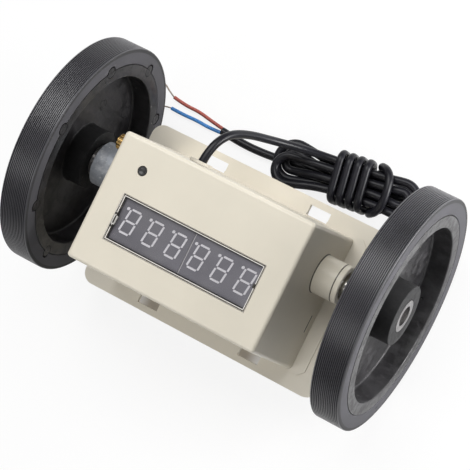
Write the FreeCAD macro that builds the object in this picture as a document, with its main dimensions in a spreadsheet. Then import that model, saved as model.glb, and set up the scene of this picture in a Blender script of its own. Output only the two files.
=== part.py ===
"""Two-wheel cable length counter: a moulded case on a slotted steel base plate, with a shaft through
it that carries a measuring wheel at each end, a six-digit display, a reset button and a tied-up lead.

Frame: origin on the shaft's axis, midway between the wheels. +X runs along the shaft to the right
wheel, +Y to the side where the lead leaves, +Z up out of the display face. Millimetres.
"""
import FreeCAD, Part
import math
import os
from types import SimpleNamespace

import Sketcher
from FreeCAD import Placement, Rotation, Vector

DRIVING_SIZES = {
    # measuring wheels
    "wheel_radius": 47.75,
    "wheel_width": 12.2,
    "wheel_spread": 139.0,
    "tyre_thickness": 6.55,
    "rim_thickness": 5.2,
    "dish_depth": 8.65,
    "web_thickness": 2.4,
    "hub_radius": 12.2,
    "hub_setback": 0.2,
    "bush_radius": 6.45,
    "tyre_edge": 0.7,
    "groove_count": 15,
    "groove_pitch": 0.74,
    "groove_depth": 0.34,
    "lug_count": 8,
    "lug_radius": 2.6,
    "lug_depth": 1.5,
    "lug_turn": 6.6,
    "grub_radius": 2.0,
    # shaft and its bearings
    "shaft_radius": 4.0,
    "shaft_length": 145.0,
    "shaft_chamfer": 0.5,
    "ring_radius": 5.2,
    "ring_thickness": 0.8,
    "ring_groove_depth": 0.3,
    "ring_gap": 2.6,
    "right_bearing_radius": 6.0,
    "right_bearing_width": 3.5,
    "right_ball_radius": 0.6,
    "left_bearing_radius": 8.0,
    "left_bearing_width": 5.0,
    "left_ball_radius": 1.2,
    "ball_count": 9,
    # case
    "case_left": -44.36,
    "case_right": 39.02,
    "case_top": 31.44,
    "case_front_top": -35.82,
    "case_front_foot": -39.5,
    "case_back_top": 16.44,
    "case_back_foot": 16.8,
    "case_wall": 2.5,
    "case_edge": 1.5,
    "boss_radius": 7.77,
    "boss_end": 47.6,
    "cap_thickness": 2.4,
    "cap_bore_radius": 5.8,
    "cap_groove": 0.3,
    "shaft_clearance": 0.6,
    "sleeve_radius": 9.0,
    "sleeve_end": -61.5,
    "sleeve_flange_radius": 12.0,
    "sleeve_flange_thickness": 2.0,
    "sleeve_pad_radius": 14.5,
    "sleeve_pad_height": 1.0,
    "sleeve_nut_thickness": 4.0,
    "sleeve_nut_flats": 24.0,
    "vent_length": 7.0,
    "vent_width": 0.7,
    "vent_depth": 1.2,
    "vent_side": -20.1,
    "vent_height": -15.2,
    # base plate
    "plate_left": -57.4,
    "plate_right": 52.2,
    "plate_front": -46.6,
    "plate_back": 24.2,
    "plate_top": -21.8,
    "plate_thickness": 2.0,
    "plate_corner": 5.0,
    "seat_margin": 1.5,
    "seat_end_margin": 5.6,
    "seat_height": 0.6,
    "slot_length": 9.2,
    "slot_width": 4.2,
    "slot_spacing": 47.5,
    "slot_row_spacing": 61.4,
    "slot_middle": -2.5,
    "slot_row_middle": -11.3,
    # screws that hold the base plate, and the posts in the case that take them
    "base_screw_radius": 1.5,
    "base_screw_head_radius": 2.9,
    "base_screw_length": 12.0,
    "base_post_radius": 3.2,
    "base_post_height": 24.0,
    "base_screw_inset": 11.0,
    "base_screw_side_inset": 5.6,
    # display window
    "window_left": -33.7,
    "window_right": 28.9,
    "window_front": -24.0,
    "window_back": -5.2,
    "window_rim": 0.9,
    "window_rim_height": 2.2,
    "window_rim_proud": 0.15,
    "lens_thickness": 1.0,
    "lens_setback": 0.9,
    "module_gap": 0.3,
    "module_height": 7.2,
    "module_margin": 0.35,
    "module_seam": -1.65,
    # circuit board under the display
    "board_thickness": 1.6,
    "board_left": -38.6,
    "board_right": 34.0,
    "board_front": -31.6,
    "board_back": 12.4,
    "board_screw_inset": 2.9,
    "board_post_radius": 2.6,
    "board_screw_radius": 1.2,
    "board_screw_head_radius": 2.3,
    "board_screw_length": 6.0,
    # reset button
    "button_x": -31.19,
    "button_y": 5.2,
    "button_radius": 1.75,
    "button_clearance": 0.25,
    "button_flange_radius": 2.8,
    "button_flange_thickness": 0.8,
    "button_setback": 0.1,
    "button_travel": 0.6,
    "switch_side": 4.5,
    "switch_height": 3.4,
    "plunger_radius": 1.6,
    "plunger_height": 1.2,
    # counting disc and its sensors
    "disc_x": 6.0,
    "disc_radius": 13.0,
    "disc_thickness": 1.0,
    "disc_slots": 12,
    "disc_slot_width": 2.2,
    "disc_slot_depth": 3.2,
    "disc_hub_radius": 6.5,
    "disc_hub_length": 7.0,
    "fork_gap": 3.4,
    "fork_arm": 3.6,
    "fork_width": 5.6,
    "fork_height": 9.6,
    "fork_floor": 3.0,
    "fork_spread": 9.6,
    "sensor_board_length": 27.0,
    "sensor_board_width": 26.0,
    "sensor_post_height": 3.0,
    "sensor_post_radius": 2.4,
    "sensor_screw_radius": 1.2,
    "sensor_screw_head_radius": 2.2,
    # parts on the boards
    "chip_side": 11.0,
    "chip_height": 2.0,
    "chip_x": 4.0,
    "chip_y": -20.0,
    "capacitor_radius": 4.0,
    "capacitor_height": 9.0,
    "capacitor_x": -30.0,
    "capacitor_y": -22.0,
    "terminal_length": 10.0,
    "terminal_width": 7.6,
    "terminal_height": 8.0,
    "terminal_y": -2.0,
    "ribbon_width": 6.4,
    "ribbon_thickness": 0.9,
    # earthing stud
    "stud_radius": 1.5,
    "stud_y": 11.2,
    "stud_z": 21.0,
    "stud_head_radius": 2.6,
    "stud_head_thickness": 1.6,
    "stud_washer_radius": 3.4,
    "stud_washer_thickness": 0.8,
    "stud_nut_radius": 3.2,
    "stud_nut_length": 4.2,
    "stud_nut_ribs": 16,
    "stud_end": 0.6,
    # lead
    "cord_radius": 1.7,
    "cord_exit_x": -21.9,
    "cord_exit_z": 5.0,
    "grommet_radius": 3.6,
    "grommet_lip_radius": 4.6,
    "grommet_lip": 1.2,
    "floor_gap": 0.3,
    "strand_gap": 0.5,
    "core_radius": 0.75,
    "strand_radius": 0.38,
    "hank_x": 17.4,
    "hank_y": 36.2,
    "hank_turn": 6.0,
    "hank_right_end": 24.0,
    "hank_left_end": 21.2,
    "hank_left_spread": 1.75,
    "hank_left_shift": -1.2,
    "waist_left": -5.0,
    "wrap_count": 4,
    "wrap_pitch": 4.0,
    "wrap_start": 12.2,
    # running and seating clearances
    "fit_gap": 0.03,
    "run_gap": 0.05,
    "seat_gap": 0.15,
}


class Size:
    """A length with the expression that gives it, so one formula sets a value and binds it."""

    def __init__(self, value, text):
        self.value = float(value)
        self.text = text

    def join(self, other, sign, swap=False):
        other = other if isinstance(other, Size) else Size(other, repr(float(other)))
        first, second = (other, self) if swap else (self, other)
        results = {
            "+": lambda a, b: a + b,
            "-": lambda a, b: a - b,
            "*": lambda a, b: a * b,
            "/": lambda a, b: a / b,
        }
        value = results[sign](first.value, second.value)
        return Size(value, f"({first.text} {sign} {second.text})")

    def __add__(self, other):
        return self.join(other, "+")

    def __radd__(self, other):
        return self.join(other, "+", swap=True)

    def __sub__(self, other):
        return self.join(other, "-")

    def __rsub__(self, other):
        return self.join(other, "-", swap=True)

    def __mul__(self, other):
        return self.join(other, "*")

    def __rmul__(self, other):
        return self.join(other, "*", swap=True)

    def __truediv__(self, other):
        return self.join(other, "/")

    def __neg__(self):
        return self * -1


def as_size(length):
    return length if isinstance(length, Size) else Size(length, repr(float(length)))


doc = FreeCAD.newDocument("cable_length_counter")
sheet = doc.addObject("Spreadsheet::Sheet", "Sizes")
for row, (alias, number) in enumerate(DRIVING_SIZES.items(), start=1):
    sheet.set(f"A{row}", alias)
    sheet.set(f"B{row}", str(number))
    sheet.setAlias(f"B{row}", alias)
doc.recompute()
dim = SimpleNamespace(**{alias: Size(sheet.get(alias), f"Sizes.{alias}") for alias in DRIVING_SIZES})

nodes = {}
TURNS = {
    "x": Rotation(Vector(0, 0, 1), Vector(1, 0, 0)),
    "-x": Rotation(Vector(0, 0, 1), Vector(-1, 0, 0)),
    "y": Rotation(Vector(0, 0, 1), Vector(0, 1, 0)),
    "-y": Rotation(Vector(0, 0, 1), Vector(0, -1, 0)),
    "z": Rotation(),
    "-z": Rotation(Vector(1, 0, 0), 180),
}


def bind(item, path, length):
    """Give a property the formula of a size."""
    item.setExpression(path, as_size(length).text)


def place(item, at, turn=None):
    """Put an object at a bound position, turned by a fixed rotation."""
    item.Placement = Placement(Vector(*(as_size(c).value for c in at)), turn or Rotation())
    for axis, length in zip("xyz", at):
        bind(item, f"Placement.Base.{axis}", length)
    return item


def shape(kind, name, at=(0, 0, 0), turn=None, **lengths):
    """Add a primitive whose lengths are bound to the sheet."""
    item = doc.addObject(kind, name)
    for prop, length in lengths.items():
        setattr(item, prop, as_size(length).value)
        bind(item, prop, length)
    return place(item, at, turn)


def cylinder(name, radius, length, at, axis="z"):
    return shape("Part::Cylinder", name, at, TURNS[axis], Radius=radius, Height=length)


def cone(name, foot, tip, length, at, axis="z"):
    return shape("Part::Cone", name, at, TURNS[axis], Radius1=foot, Radius2=tip, Height=length)


def block(name, low, high):
    """A box between two corners."""
    spans = {prop: as_size(b - a) for prop, a, b in zip(("Length", "Width", "Height"), low, high)}
    return shape("Part::Box", name, low, None, **spans)


def tube(name, radius, bore, length, at, axis="z"):
    outer = cylinder(f"{name}_outer", radius, length, at, axis)
    inner = cylinder(f"{name}_inner", bore, length, at, axis)
    return cut(name, outer, inner)


def cut(name, base, *tools):
    item = doc.addObject("Part::Cut", name)
    item.Base = base
    item.Tool = tools[0] if len(tools) == 1 else fuse(f"{name}_tools", *tools)
    return item


def fuse(name, *items):
    item = doc.addObject("Part::MultiFuse", name)
    item.Shapes = list(items)
    return item


def common(name, *items):
    item = doc.addObject("Part::MultiCommon", name)
    item.Shapes = list(items)
    return item


def group(name, *items):
    item = doc.addObject("Part::Compound", name)
    item.Links = list(items)
    return item


def keep(name, item):
    """Record an object as a sub-part under the name of its file."""
    item.Label = name
    nodes[name] = item
    return item


def origin_plane(body, role):
    return next(plane for plane in body.Origin.OriginFeatures if plane.Role == role)


def blank_sketch(body, name, role, offset=0):
    """A sketch on one of the body's origin planes, moved along its normal by a bound offset."""
    sketch = body.newObject("Sketcher::SketchObject", name)
    sketch.AttachmentSupport = [(origin_plane(body, role), "")]
    sketch.MapMode = "FlatFace"
    sketch.AttachmentOffset = Placement(Vector(0, 0, as_size(offset).value), Rotation())
    bind(sketch, "AttachmentOffset.Base.z", offset)
    return sketch


def fix_point(sketch, curve, end, x, y):
    """Dimension one sketch point from the origin."""
    for kind, length in (("DistanceX", x), ("DistanceY", y)):
        length = as_size(length)
        number = sketch.addConstraint(Sketcher.Constraint(kind, -1, 1, curve, end, length.value))
        sketch.setExpression(f"Constraints[{number}]", length.text)


def add_outline(sketch, points):
    """Draw a closed outline of straight lines through dimensioned points."""
    spots = [Vector(as_size(x).value, as_size(y).value, 0) for x, y in points]
    first = sketch.GeometryCount
    count = len(spots)
    for index in range(count):
        sketch.addGeometry(Part.LineSegment(spots[index], spots[(index + 1) % count]), False)
    for index in range(count):
        after = first + (index + 1) % count
        sketch.addConstraint(Sketcher.Constraint("Coincident", first + index, 2, after, 1))
    for index, (x, y) in enumerate(points):
        fix_point(sketch, first + index, 1, x, y)


def add_circle(sketch, x, y, radius):
    radius = as_size(radius)
    centre = Vector(as_size(x).value, as_size(y).value, 0)
    curve = sketch.addGeometry(Part.Circle(centre, Vector(0, 0, 1), radius.value), False)
    fix_point(sketch, curve, 3, x, y)
    number = sketch.addConstraint(Sketcher.Constraint("Radius", curve, radius.value))
    sketch.setExpression(f"Constraints[{number}]", radius.text)


def new_body(name):
    return doc.addObject("PartDesign::Body", name)


def turn_profile(body, name, points, kind="Revolution"):
    """Turn an outline of (x, radius) points about the X axis."""
    sketch = blank_sketch(body, f"{name}_profile", "XY_Plane")
    add_outline(sketch, points)
    feature = body.newObject(f"PartDesign::{kind}", name)
    feature.Profile = sketch
    feature.ReferenceAxis = (sketch, ["H_Axis"])
    feature.Angle = 360
    return feature


def pad(body, name, sketch, length, flipped=False, kind="Pad"):
    feature = body.newObject(f"PartDesign::{kind}", name)
    feature.Profile = sketch
    feature.Length = as_size(length).value
    bind(feature, "Length", length)
    feature.Reversed = flipped
    return feature


def polar(body, name, feature, count):
    """Repeat a feature about the X axis."""
    pattern = body.newObject("PartDesign::PolarPattern", name)
    pattern.Originals = [feature]
    pattern.Axis = (origin_plane(body, "X_Axis"), [""])
    pattern.Angle = 360
    pattern.Occurrences = int(count.value)
    bind(pattern, "Occurrences", count)
    body.Tip = pattern
    return pattern


# Measuring wheels

def wheel_ends(side):
    """The low and high X of the wheel on one side, -1 left or 1 right."""
    middle = dim.wheel_spread / 2 * side
    return middle - dim.wheel_width / 2, middle + dim.wheel_width / 2


def joint_radius():
    return dim.wheel_radius - dim.tyre_thickness


def lug_spot():
    """The first lug's place on the joint, a little off the top."""
    turn = math.radians(dim.lug_turn.value)
    return joint_radius() * math.sin(turn), joint_radius() * math.cos(turn)


def wheel_core(side, name):
    """The dished plastic wheel: rim, web and hub, with half-round lugs that key the tyre."""
    low, high = wheel_ends(side)
    web_face = high - dim.dish_depth
    web_back = web_face - dim.web_thickness
    hub_face = high - dim.hub_setback
    bore = dim.bush_radius + dim.fit_gap
    rim = joint_radius()
    rim_bore = rim - dim.rim_thickness
    body = new_body(name)
    turn_profile(body, f"{name}_turned", [
        (low, bore), (low, dim.hub_radius), (web_back, dim.hub_radius),
        (web_back, rim_bore), (low, rim_bore), (low, rim), (high, rim),
        (high, rim_bore), (web_face + 2.5, rim_bore),
        (web_face, rim_bore - 2.5), (web_face, dim.hub_radius + 0.8),
        (web_face + 0.8, dim.hub_radius), (hub_face, dim.hub_radius), (hub_face, bore),
    ])
    lug_face = high if side < 0 else low
    sketch = blank_sketch(body, f"{name}_lug_outline", "YZ_Plane", lug_face)
    add_circle(sketch, *lug_spot(), dim.lug_radius)
    lug = pad(body, f"{name}_lug", sketch, dim.lug_depth, flipped=side < 0)
    polar(body, f"{name}_lugs", lug, dim.lug_count)
    hole = cylinder(f"{name}_grub_hole", dim.grub_radius + dim.fit_gap, dim.hub_radius * 2,
                    (grub_x(side), 0, 0), "-z")
    return keep(name, cut(f"{name}_bored", body, hole))


def grub_x(side):
    high = wheel_ends(side)[1]
    return high - dim.dish_depth / 2


def tyre(side, name):
    """The rubber tread ring with fine grooves round it and notches for the lugs."""
    low, high = wheel_ends(side)
    bore = joint_radius() + dim.fit_gap
    top = dim.wheel_radius
    body = new_body(name)
    turn_profile(body, f"{name}_turned", [
        (low, bore), (low, top - dim.tyre_edge), (low + dim.tyre_edge, top),
        (high - dim.tyre_edge, top), (high, top - dim.tyre_edge), (high, bore),
    ])
    lug_face = high if side < 0 else low
    sketch = blank_sketch(body, f"{name}_notch_outline", "YZ_Plane", lug_face)
    add_circle(sketch, *lug_spot(), dim.lug_radius + dim.run_gap)
    notch = pad(body, f"{name}_notch", sketch, dim.lug_depth + dim.run_gap, kind="Pocket")
    notch.Reversed = side > 0
    polar(body, f"{name}_notches", notch, dim.lug_count)
    span = dim.groove_pitch * (dim.groove_count - 1)
    start = (low + high - span) / 2
    half = dim.groove_pitch * 0.36
    groove = turn_profile(body, f"{name}_groove", [
        (start - half, top + 0.05), (start, top - dim.groove_depth), (start + half, top + 0.05),
    ], kind="Groove")
    pattern = body.newObject("PartDesign::LinearPattern", f"{name}_grooves")
    pattern.Originals = [groove]
    pattern.Direction = (origin_plane(body, "X_Axis"), [""])
    pattern.Length = span.value
    bind(pattern, "Length", span)
    pattern.Occurrences = int(dim.groove_count.value)
    bind(pattern, "Occurrences", dim.groove_count)
    body.Tip = pattern
    return keep(name, body)


def hub_bush(side, name):
    """The steel bush moulded into the hub, drilled for the grub screw."""
    low, high = wheel_ends(side)
    length = high - dim.hub_setback + 0.1 - low
    ring = tube(f"{name}_ring", dim.bush_radius, dim.shaft_radius + dim.fit_gap, length,
                (low, 0, 0), "x")
    hole = cylinder(f"{name}_grub_hole", dim.grub_radius + dim.fit_gap, dim.hub_radius,
                    (grub_x(side), 0, 0), "-z")
    return keep(name, cut(name, ring, hole))


def grub_screw(name, x, reach):
    """A socket grub screw that points at the shaft from below."""
    foot = dim.shaft_radius + dim.fit_gap
    thread = cylinder(f"{name}_thread", dim.grub_radius, reach - foot, (x, 0, -foot), "-z")
    socket = cylinder(f"{name}_socket", dim.grub_radius * 0.5, dim.grub_radius,
                      (x, 0, -reach), "z")
    return cut(name, thread, socket)


SIDES = ((-1, "left"), (1, "right"))
for side, word in SIDES:
    wheel_core(side, f"{word}_wheel_core")
    tyre(side, f"{word}_tyre")
    hub_bush(side, f"{word}_hub_bush")
keep("wheel_grub_screws", group("wheel_grub_screws", *(
    grub_screw(f"{word}_grub", grub_x(side), dim.hub_radius - 0.3) for side, word in SIDES)))


# Shaft, bearings and retaining rings

def bearing_x(side):
    """The low X of the bearing on one side: each sits in the end of what holds it."""
    if side < 0:
        return dim.sleeve_end + 0.3
    return dim.boss_end - dim.fit_gap - dim.right_bearing_width


def ring_x(side):
    """The low X of the retaining ring outside the bearing on one side."""
    if side < 0:
        return bearing_x(side) - dim.fit_gap - dim.ring_thickness
    return bearing_x(side) + dim.right_bearing_width + dim.fit_gap


def shaft():
    body = new_body("shaft")
    end = dim.shaft_length / 2
    radius = dim.shaft_radius
    chamfer = dim.shaft_chamfer
    turn_profile(body, "shaft_turned", [
        (-end, 0), (-end, radius - chamfer), (-end + chamfer, radius),
        (end - chamfer, radius), (end, radius - chamfer), (end, 0),
    ])
    for side, word in SIDES:
        low = ring_x(side) - dim.fit_gap / 2
        high = low + dim.ring_thickness + dim.fit_gap
        foot = radius - dim.ring_groove_depth
        turn_profile(body, f"shaft_{word}_groove", [
            (low, foot), (low, radius + 0.2), (high, radius + 0.2), (high, foot),
        ], kind="Groove")
    return keep("shaft", body)


def retaining_ring(side, word):
    """A C-shaped ring that snaps into the shaft's groove."""
    x = ring_x(side)
    bore = dim.shaft_radius - dim.ring_groove_depth + dim.fit_gap
    ring = tube(f"{word}_ring_blank", dim.ring_radius, bore, dim.ring_thickness, (x, 0, 0), "x")
    mouth = block(f"{word}_ring_mouth", (x - 0.1, -dim.ring_gap / 2, 0),
                  (x + dim.ring_thickness + 0.1, dim.ring_gap / 2, dim.ring_radius + 1))
    return cut(f"{word}_ring", ring, mouth)


def bearing(side, word, radius, width, ball):
    """A deep-groove ball bearing: outer ring in the housing, inner ring on the shaft, balls between."""
    x = bearing_x(side)
    bore = dim.shaft_radius + dim.fit_gap
    track = (radius + bore) / 2
    middle = x + width / 2
    inner_top = track - ball * 0.6
    outer_foot = track + ball * 0.6

    def grooved(name, ring):
        race = shape("Part::Torus", f"{name}_race", (middle, 0, 0), TURNS["x"],
                     Radius1=track, Radius2=ball + dim.run_gap)
        return keep(name, cut(f"{name}_grooved", ring, race))

    grooved(f"{word}_bearing_inner",
            tube(f"{word}_bearing_inner_blank", inner_top, bore, width, (x, 0, 0), "x"))
    grooved(f"{word}_bearing_outer",
            tube(f"{word}_bearing_outer_blank", radius - dim.fit_gap, outer_foot, width,
                 (x, 0, 0), "x"))
    balls = []
    for index in range(int(dim.ball_count.value)):
        angle = 2 * math.pi * index / int(dim.ball_count.value)
        spot = (middle, track * math.cos(angle), track * math.sin(angle))
        balls.append(shape("Part::Sphere", f"{word}_ball_{index}", spot, None, Radius=ball))
    keep(f"{word}_bearing_balls", group(f"{word}_bearing_balls", *balls))


shaft()
keep("retaining_rings", group("retaining_rings", *(retaining_ring(s, w) for s, w in SIDES)))
bearing(-1, "left", dim.left_bearing_radius, dim.left_bearing_width, dim.left_ball_radius)
bearing(1, "right", dim.right_bearing_radius, dim.right_bearing_width, dim.right_ball_radius)


# Case

CASE_SIDES = ((-1, "front"), (1, "back"))


def board_screw_spots():
    inset = dim.board_screw_inset
    return [(x, y) for x in (dim.board_left + inset, dim.board_right - inset)
            for y in (dim.board_front + inset, dim.board_back - inset)]


def base_screw_spots():
    inset = dim.base_screw_inset
    side_inset = dim.base_screw_side_inset
    return [(x, y) for x in (dim.case_left + inset, dim.case_right - inset)
            for y in (dim.case_front_foot + side_inset, dim.case_back_foot - side_inset)]


def module_top():
    return dim.case_top + dim.window_rim_proud - dim.lens_setback - dim.lens_thickness - dim.seat_gap


def board_top():
    return module_top() - dim.module_height


def upright_edges(feature, low, high):
    """Names of the straight edges that run the full height of a box, and those round its top."""
    upright, top = [], []
    for number, edge in enumerate(feature.Shape.Edges, start=1):
        heights = sorted(vertex.Z for vertex in edge.Vertexes)
        if len(heights) < 2:
            continue
        if abs(heights[0] - low) < 0.01 and abs(heights[1] - high) < 0.01:
            upright.append(f"Edge{number}")
        elif heights[0] > high - 0.01:
            top.append(f"Edge{number}")
    return upright, top


def round_edges(body, name, feature, edges, radius):
    fillet = body.newObject("PartDesign::Fillet", name)
    fillet.Base = (feature, edges)
    fillet.Radius = as_size(radius).value
    bind(fillet, "Radius", radius)
    doc.recompute()
    return fillet


def case():
    """The drafted moulding: open below, with a window, bearing bosses and screw posts."""
    body = new_body("case_body")
    foot = dim.plate_top + dim.seat_height
    wall = dim.case_wall
    ceiling = dim.case_top - wall
    slope_front = (dim.case_front_top - dim.case_front_foot) / (dim.case_top - foot)
    slope_back = (dim.case_back_foot - dim.case_back_top) / (dim.case_top - foot)
    outline = blank_sketch(body, "case_outline", "YZ_Plane", dim.case_left)
    add_outline(outline, [(dim.case_front_foot, foot), (dim.case_back_foot, foot),
                          (dim.case_back_top, dim.case_top), (dim.case_front_top, dim.case_top)])
    outside = pad(body, "case_outside", outline, dim.case_right - dim.case_left)
    doc.recompute()
    upright, top = upright_edges(outside, foot.value, dim.case_top.value)
    round_edges(body, "case_edges", outside, upright + top, dim.case_edge)
    hollow = blank_sketch(body, "case_hollow_outline", "YZ_Plane", dim.case_left + wall)
    add_outline(hollow, [
        (dim.case_front_foot + wall, foot), (dim.case_back_foot - wall, foot),
        (dim.case_back_top - wall + slope_back * wall, ceiling),
        (dim.case_front_top + wall - slope_front * wall, ceiling)])
    inside = pad(body, "case_hollow", hollow, dim.case_right - dim.case_left - wall * 2,
                 kind="Pocket")
    inside.Reversed = True

    boss = blank_sketch(body, "right_boss_outline", "YZ_Plane", dim.case_right - wall - 1)
    add_circle(boss, 0, 0, dim.boss_radius)
    pad(body, "right_boss", boss, dim.boss_end - (dim.case_right - wall - 1))
    seat = blank_sketch(body, "sleeve_pad_outline", "YZ_Plane",
                        dim.case_left - dim.sleeve_pad_height)
    add_circle(seat, 0, 0, dim.sleeve_pad_radius)
    pad(body, "sleeve_pad", seat, wall + dim.sleeve_pad_height)

    for number, (x, y) in enumerate(board_screw_spots()):
        sketch = blank_sketch(body, f"board_post_{number}_outline", "XY_Plane", board_top())
        add_circle(sketch, x, y, dim.board_post_radius)
        pad(body, f"board_post_{number}", sketch, ceiling - board_top() + 0.5)
    for number, (x, y) in enumerate(base_screw_spots()):
        sketch = blank_sketch(body, f"base_post_{number}_outline", "XY_Plane", foot)
        add_circle(sketch, x, y, dim.base_post_radius)
        pad(body, f"base_post_{number}", sketch, dim.base_post_height)

    cutters = [
        cylinder("right_shaft_hole", dim.shaft_radius + dim.shaft_clearance,
                 dim.boss_end - dim.case_right + wall + 4, (dim.case_right - wall - 2, 0, 0), "x"),
        cylinder("right_bearing_seat", dim.right_bearing_radius, dim.right_bearing_width + 0.2,
                 (bearing_x(1) - dim.fit_gap, 0, 0), "x"),
        cylinder("sleeve_hole", dim.sleeve_radius + dim.fit_gap,
                 dim.sleeve_pad_height + wall + 4, (dim.case_left - dim.sleeve_pad_height - 2, 0, 0),
                 "x"),
        cylinder("stud_hole", dim.stud_radius + dim.seat_gap, wall + 4,
                 (dim.case_left - 2, dim.stud_y, dim.stud_z), "x"),
        cylinder("grommet_hole", dim.grommet_radius + dim.fit_gap, wall + 8,
                 (dim.cord_exit_x, dim.case_back_top - wall - 3, dim.cord_exit_z), "y"),
        cylinder("button_hole", dim.button_radius + dim.button_clearance, wall + 2,
                 (dim.button_x, dim.button_y, ceiling - 1)),
        block("window_hole",
              (dim.window_left - dim.seat_gap, dim.window_front - dim.seat_gap, ceiling - 1),
              (dim.window_right + dim.seat_gap, dim.window_back + dim.seat_gap, dim.case_top + 1)),
        block("vent_slit",
              (dim.case_right - dim.vent_depth, dim.vent_side - dim.vent_length / 2,
               dim.vent_height - dim.vent_width / 2),
              (dim.case_right + 1, dim.vent_side + dim.vent_length / 2,
               dim.vent_height + dim.vent_width / 2)),
    ]
    for number, (x, y) in enumerate(board_screw_spots()):
        cutters.append(cylinder(f"board_screw_hole_{number}", dim.board_screw_radius + dim.fit_gap,
                                dim.board_screw_length, (x, y, board_top())))
    for number, (x, y) in enumerate(base_screw_spots()):
        cutters.append(cylinder(f"base_screw_hole_{number}", dim.base_screw_radius + dim.fit_gap,
                                dim.base_screw_length, (x, y, foot)))
    return keep("case", cut("case", body, *cutters))


def bearing_cap():
    """The beige ring that closes the right boss and holds its bearing in."""
    body = new_body("bearing_cap")
    low = dim.boss_end
    high = low + dim.cap_thickness
    top = dim.boss_radius
    edge = dim.cap_groove
    turn_profile(body, "bearing_cap_turned", [
        (low, dim.cap_bore_radius), (low, top - edge), (low + edge, top - edge),
        (low + edge, top), (high - edge, top), (high, top - edge), (high, dim.cap_bore_radius),
    ])
    return keep("bearing_cap", body)


def bearing_sleeve():
    """The zinc-plated sleeve that stands out of the left wall and carries the left bearing."""
    seat = dim.case_left - dim.sleeve_pad_height
    inner_end = dim.case_left + dim.case_wall + dim.sleeve_nut_thickness + 1
    bore = dim.shaft_radius + dim.shaft_clearance
    pocket = dim.left_bearing_radius
    pocket_end = bearing_x(-1) + dim.left_bearing_width + dim.fit_gap
    flange = seat - dim.sleeve_flange_thickness
    body = new_body("bearing_sleeve")
    turn_profile(body, "bearing_sleeve_turned", [
        (dim.sleeve_end, pocket), (dim.sleeve_end, dim.sleeve_radius - 0.3),
        (dim.sleeve_end + 0.3, dim.sleeve_radius), (flange, dim.sleeve_radius),
        (flange, dim.sleeve_flange_radius), (seat, dim.sleeve_flange_radius),
        (seat, dim.sleeve_radius), (inner_end, dim.sleeve_radius), (inner_end, bore),
        (pocket_end, bore), (pocket_end, pocket),
    ])
    return keep("bearing_sleeve", body)


def sleeve_nut():
    low = dim.case_left + dim.case_wall
    prism = shape("Part::Prism", "sleeve_nut_blank", (low, 0, 0), TURNS["x"],
                  Circumradius=dim.sleeve_nut_flats / 1.7320508, Height=dim.sleeve_nut_thickness)
    prism.Polygon = 6
    hole = cylinder("sleeve_nut_hole", dim.sleeve_radius + dim.fit_gap, dim.sleeve_nut_thickness,
                    (low, 0, 0), "x")
    return keep("sleeve_nut", cut("sleeve_nut", prism, hole))


case()
bearing_cap()
bearing_sleeve()
sleeve_nut()


# Base plate

def slot_spots():
    return [(dim.slot_middle + dim.slot_spacing / 2 * across,
             dim.slot_row_middle + dim.slot_row_spacing / 2 * along)
            for across in (-1, 1) for along in (-1, 1)]


def base_plate():
    """The painted steel plate: a raised seat under the case and four rectangular slots."""
    body = new_body("base_plate_body")
    low = dim.plate_top - dim.plate_thickness
    outline = blank_sketch(body, "plate_outline", "XY_Plane", low)
    add_outline(outline, [(dim.plate_left, dim.plate_front), (dim.plate_right, dim.plate_front),
                          (dim.plate_right, dim.plate_back), (dim.plate_left, dim.plate_back)])
    sheet_metal = pad(body, "plate_sheet", outline, dim.plate_thickness)
    doc.recompute()
    upright, _ = upright_edges(sheet_metal, low.value, dim.plate_top.value)
    round_edges(body, "plate_corners", sheet_metal, upright, dim.plate_corner)
    seat = blank_sketch(body, "seat_outline", "XY_Plane", dim.plate_top)
    margin, end_margin = dim.seat_margin, dim.seat_end_margin
    left, right = dim.case_left - end_margin, dim.case_right + end_margin
    front, back = dim.case_front_foot - margin * 0.5, dim.case_back_foot + margin
    step = dim.plate_corner / 2
    add_outline(seat, [
        (left + step, front), (right - step, front), (right, front + step), (right, back - step),
        (right - step, back), (left + step, back), (left, back - step), (left, front + step),
    ])
    pad(body, "plate_seat", seat, dim.seat_height)
    cutters = []
    half_length, half_width = dim.slot_length / 2, dim.slot_width / 2
    top = dim.plate_top + dim.seat_height + 1
    for number, (x, y) in enumerate(slot_spots()):
        cutters.append(block(f"slot_{number}", (x - half_length, y - half_width, low - 1),
                             (x + half_length, y + half_width, top)))
    for number, (x, y) in enumerate(base_screw_spots()):
        radius = dim.base_screw_radius + dim.seat_gap
        cutters.append(cylinder(f"plate_screw_hole_{number}", radius, dim.plate_thickness + 2,
                                (x, y, low - 0.5)))
        head = dim.base_screw_head_radius + dim.seat_gap
        cutters.append(cone(f"plate_countersink_{number}", head, radius, head - radius,
                            (x, y, low)))
    return keep("base_plate", cut("base_plate", body, *cutters))


def base_screw(number, x, y):
    """A countersunk screw driven up through the plate into a post of the case."""
    low = dim.plate_top - dim.plate_thickness
    head_height = dim.base_screw_head_radius - dim.base_screw_radius
    head = cone(f"base_screw_{number}_head", dim.base_screw_head_radius, dim.base_screw_radius,
                head_height, (x, y, low))
    length = dim.base_screw_length + dim.seat_height + dim.plate_thickness - 1
    thread = cylinder(f"base_screw_{number}_thread", dim.base_screw_radius, length, (x, y, low))
    arm = dim.base_screw_head_radius * 0.6
    slots = [
        block(f"base_screw_{number}_slot_{word}", (x - across, y - along, low - 0.1),
              (x + across, y + along, low + 0.7))
        for word, across, along in (("x", arm, as_size(0.35)), ("y", as_size(0.35), arm))
    ]
    return cut(f"base_screw_{number}", fuse(f"base_screw_{number}_blank", head, thread), *slots)


base_plate()
keep("base_screws", group("base_screws", *(
    base_screw(number, x, y) for number, (x, y) in enumerate(base_screw_spots()))))


# Display

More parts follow.
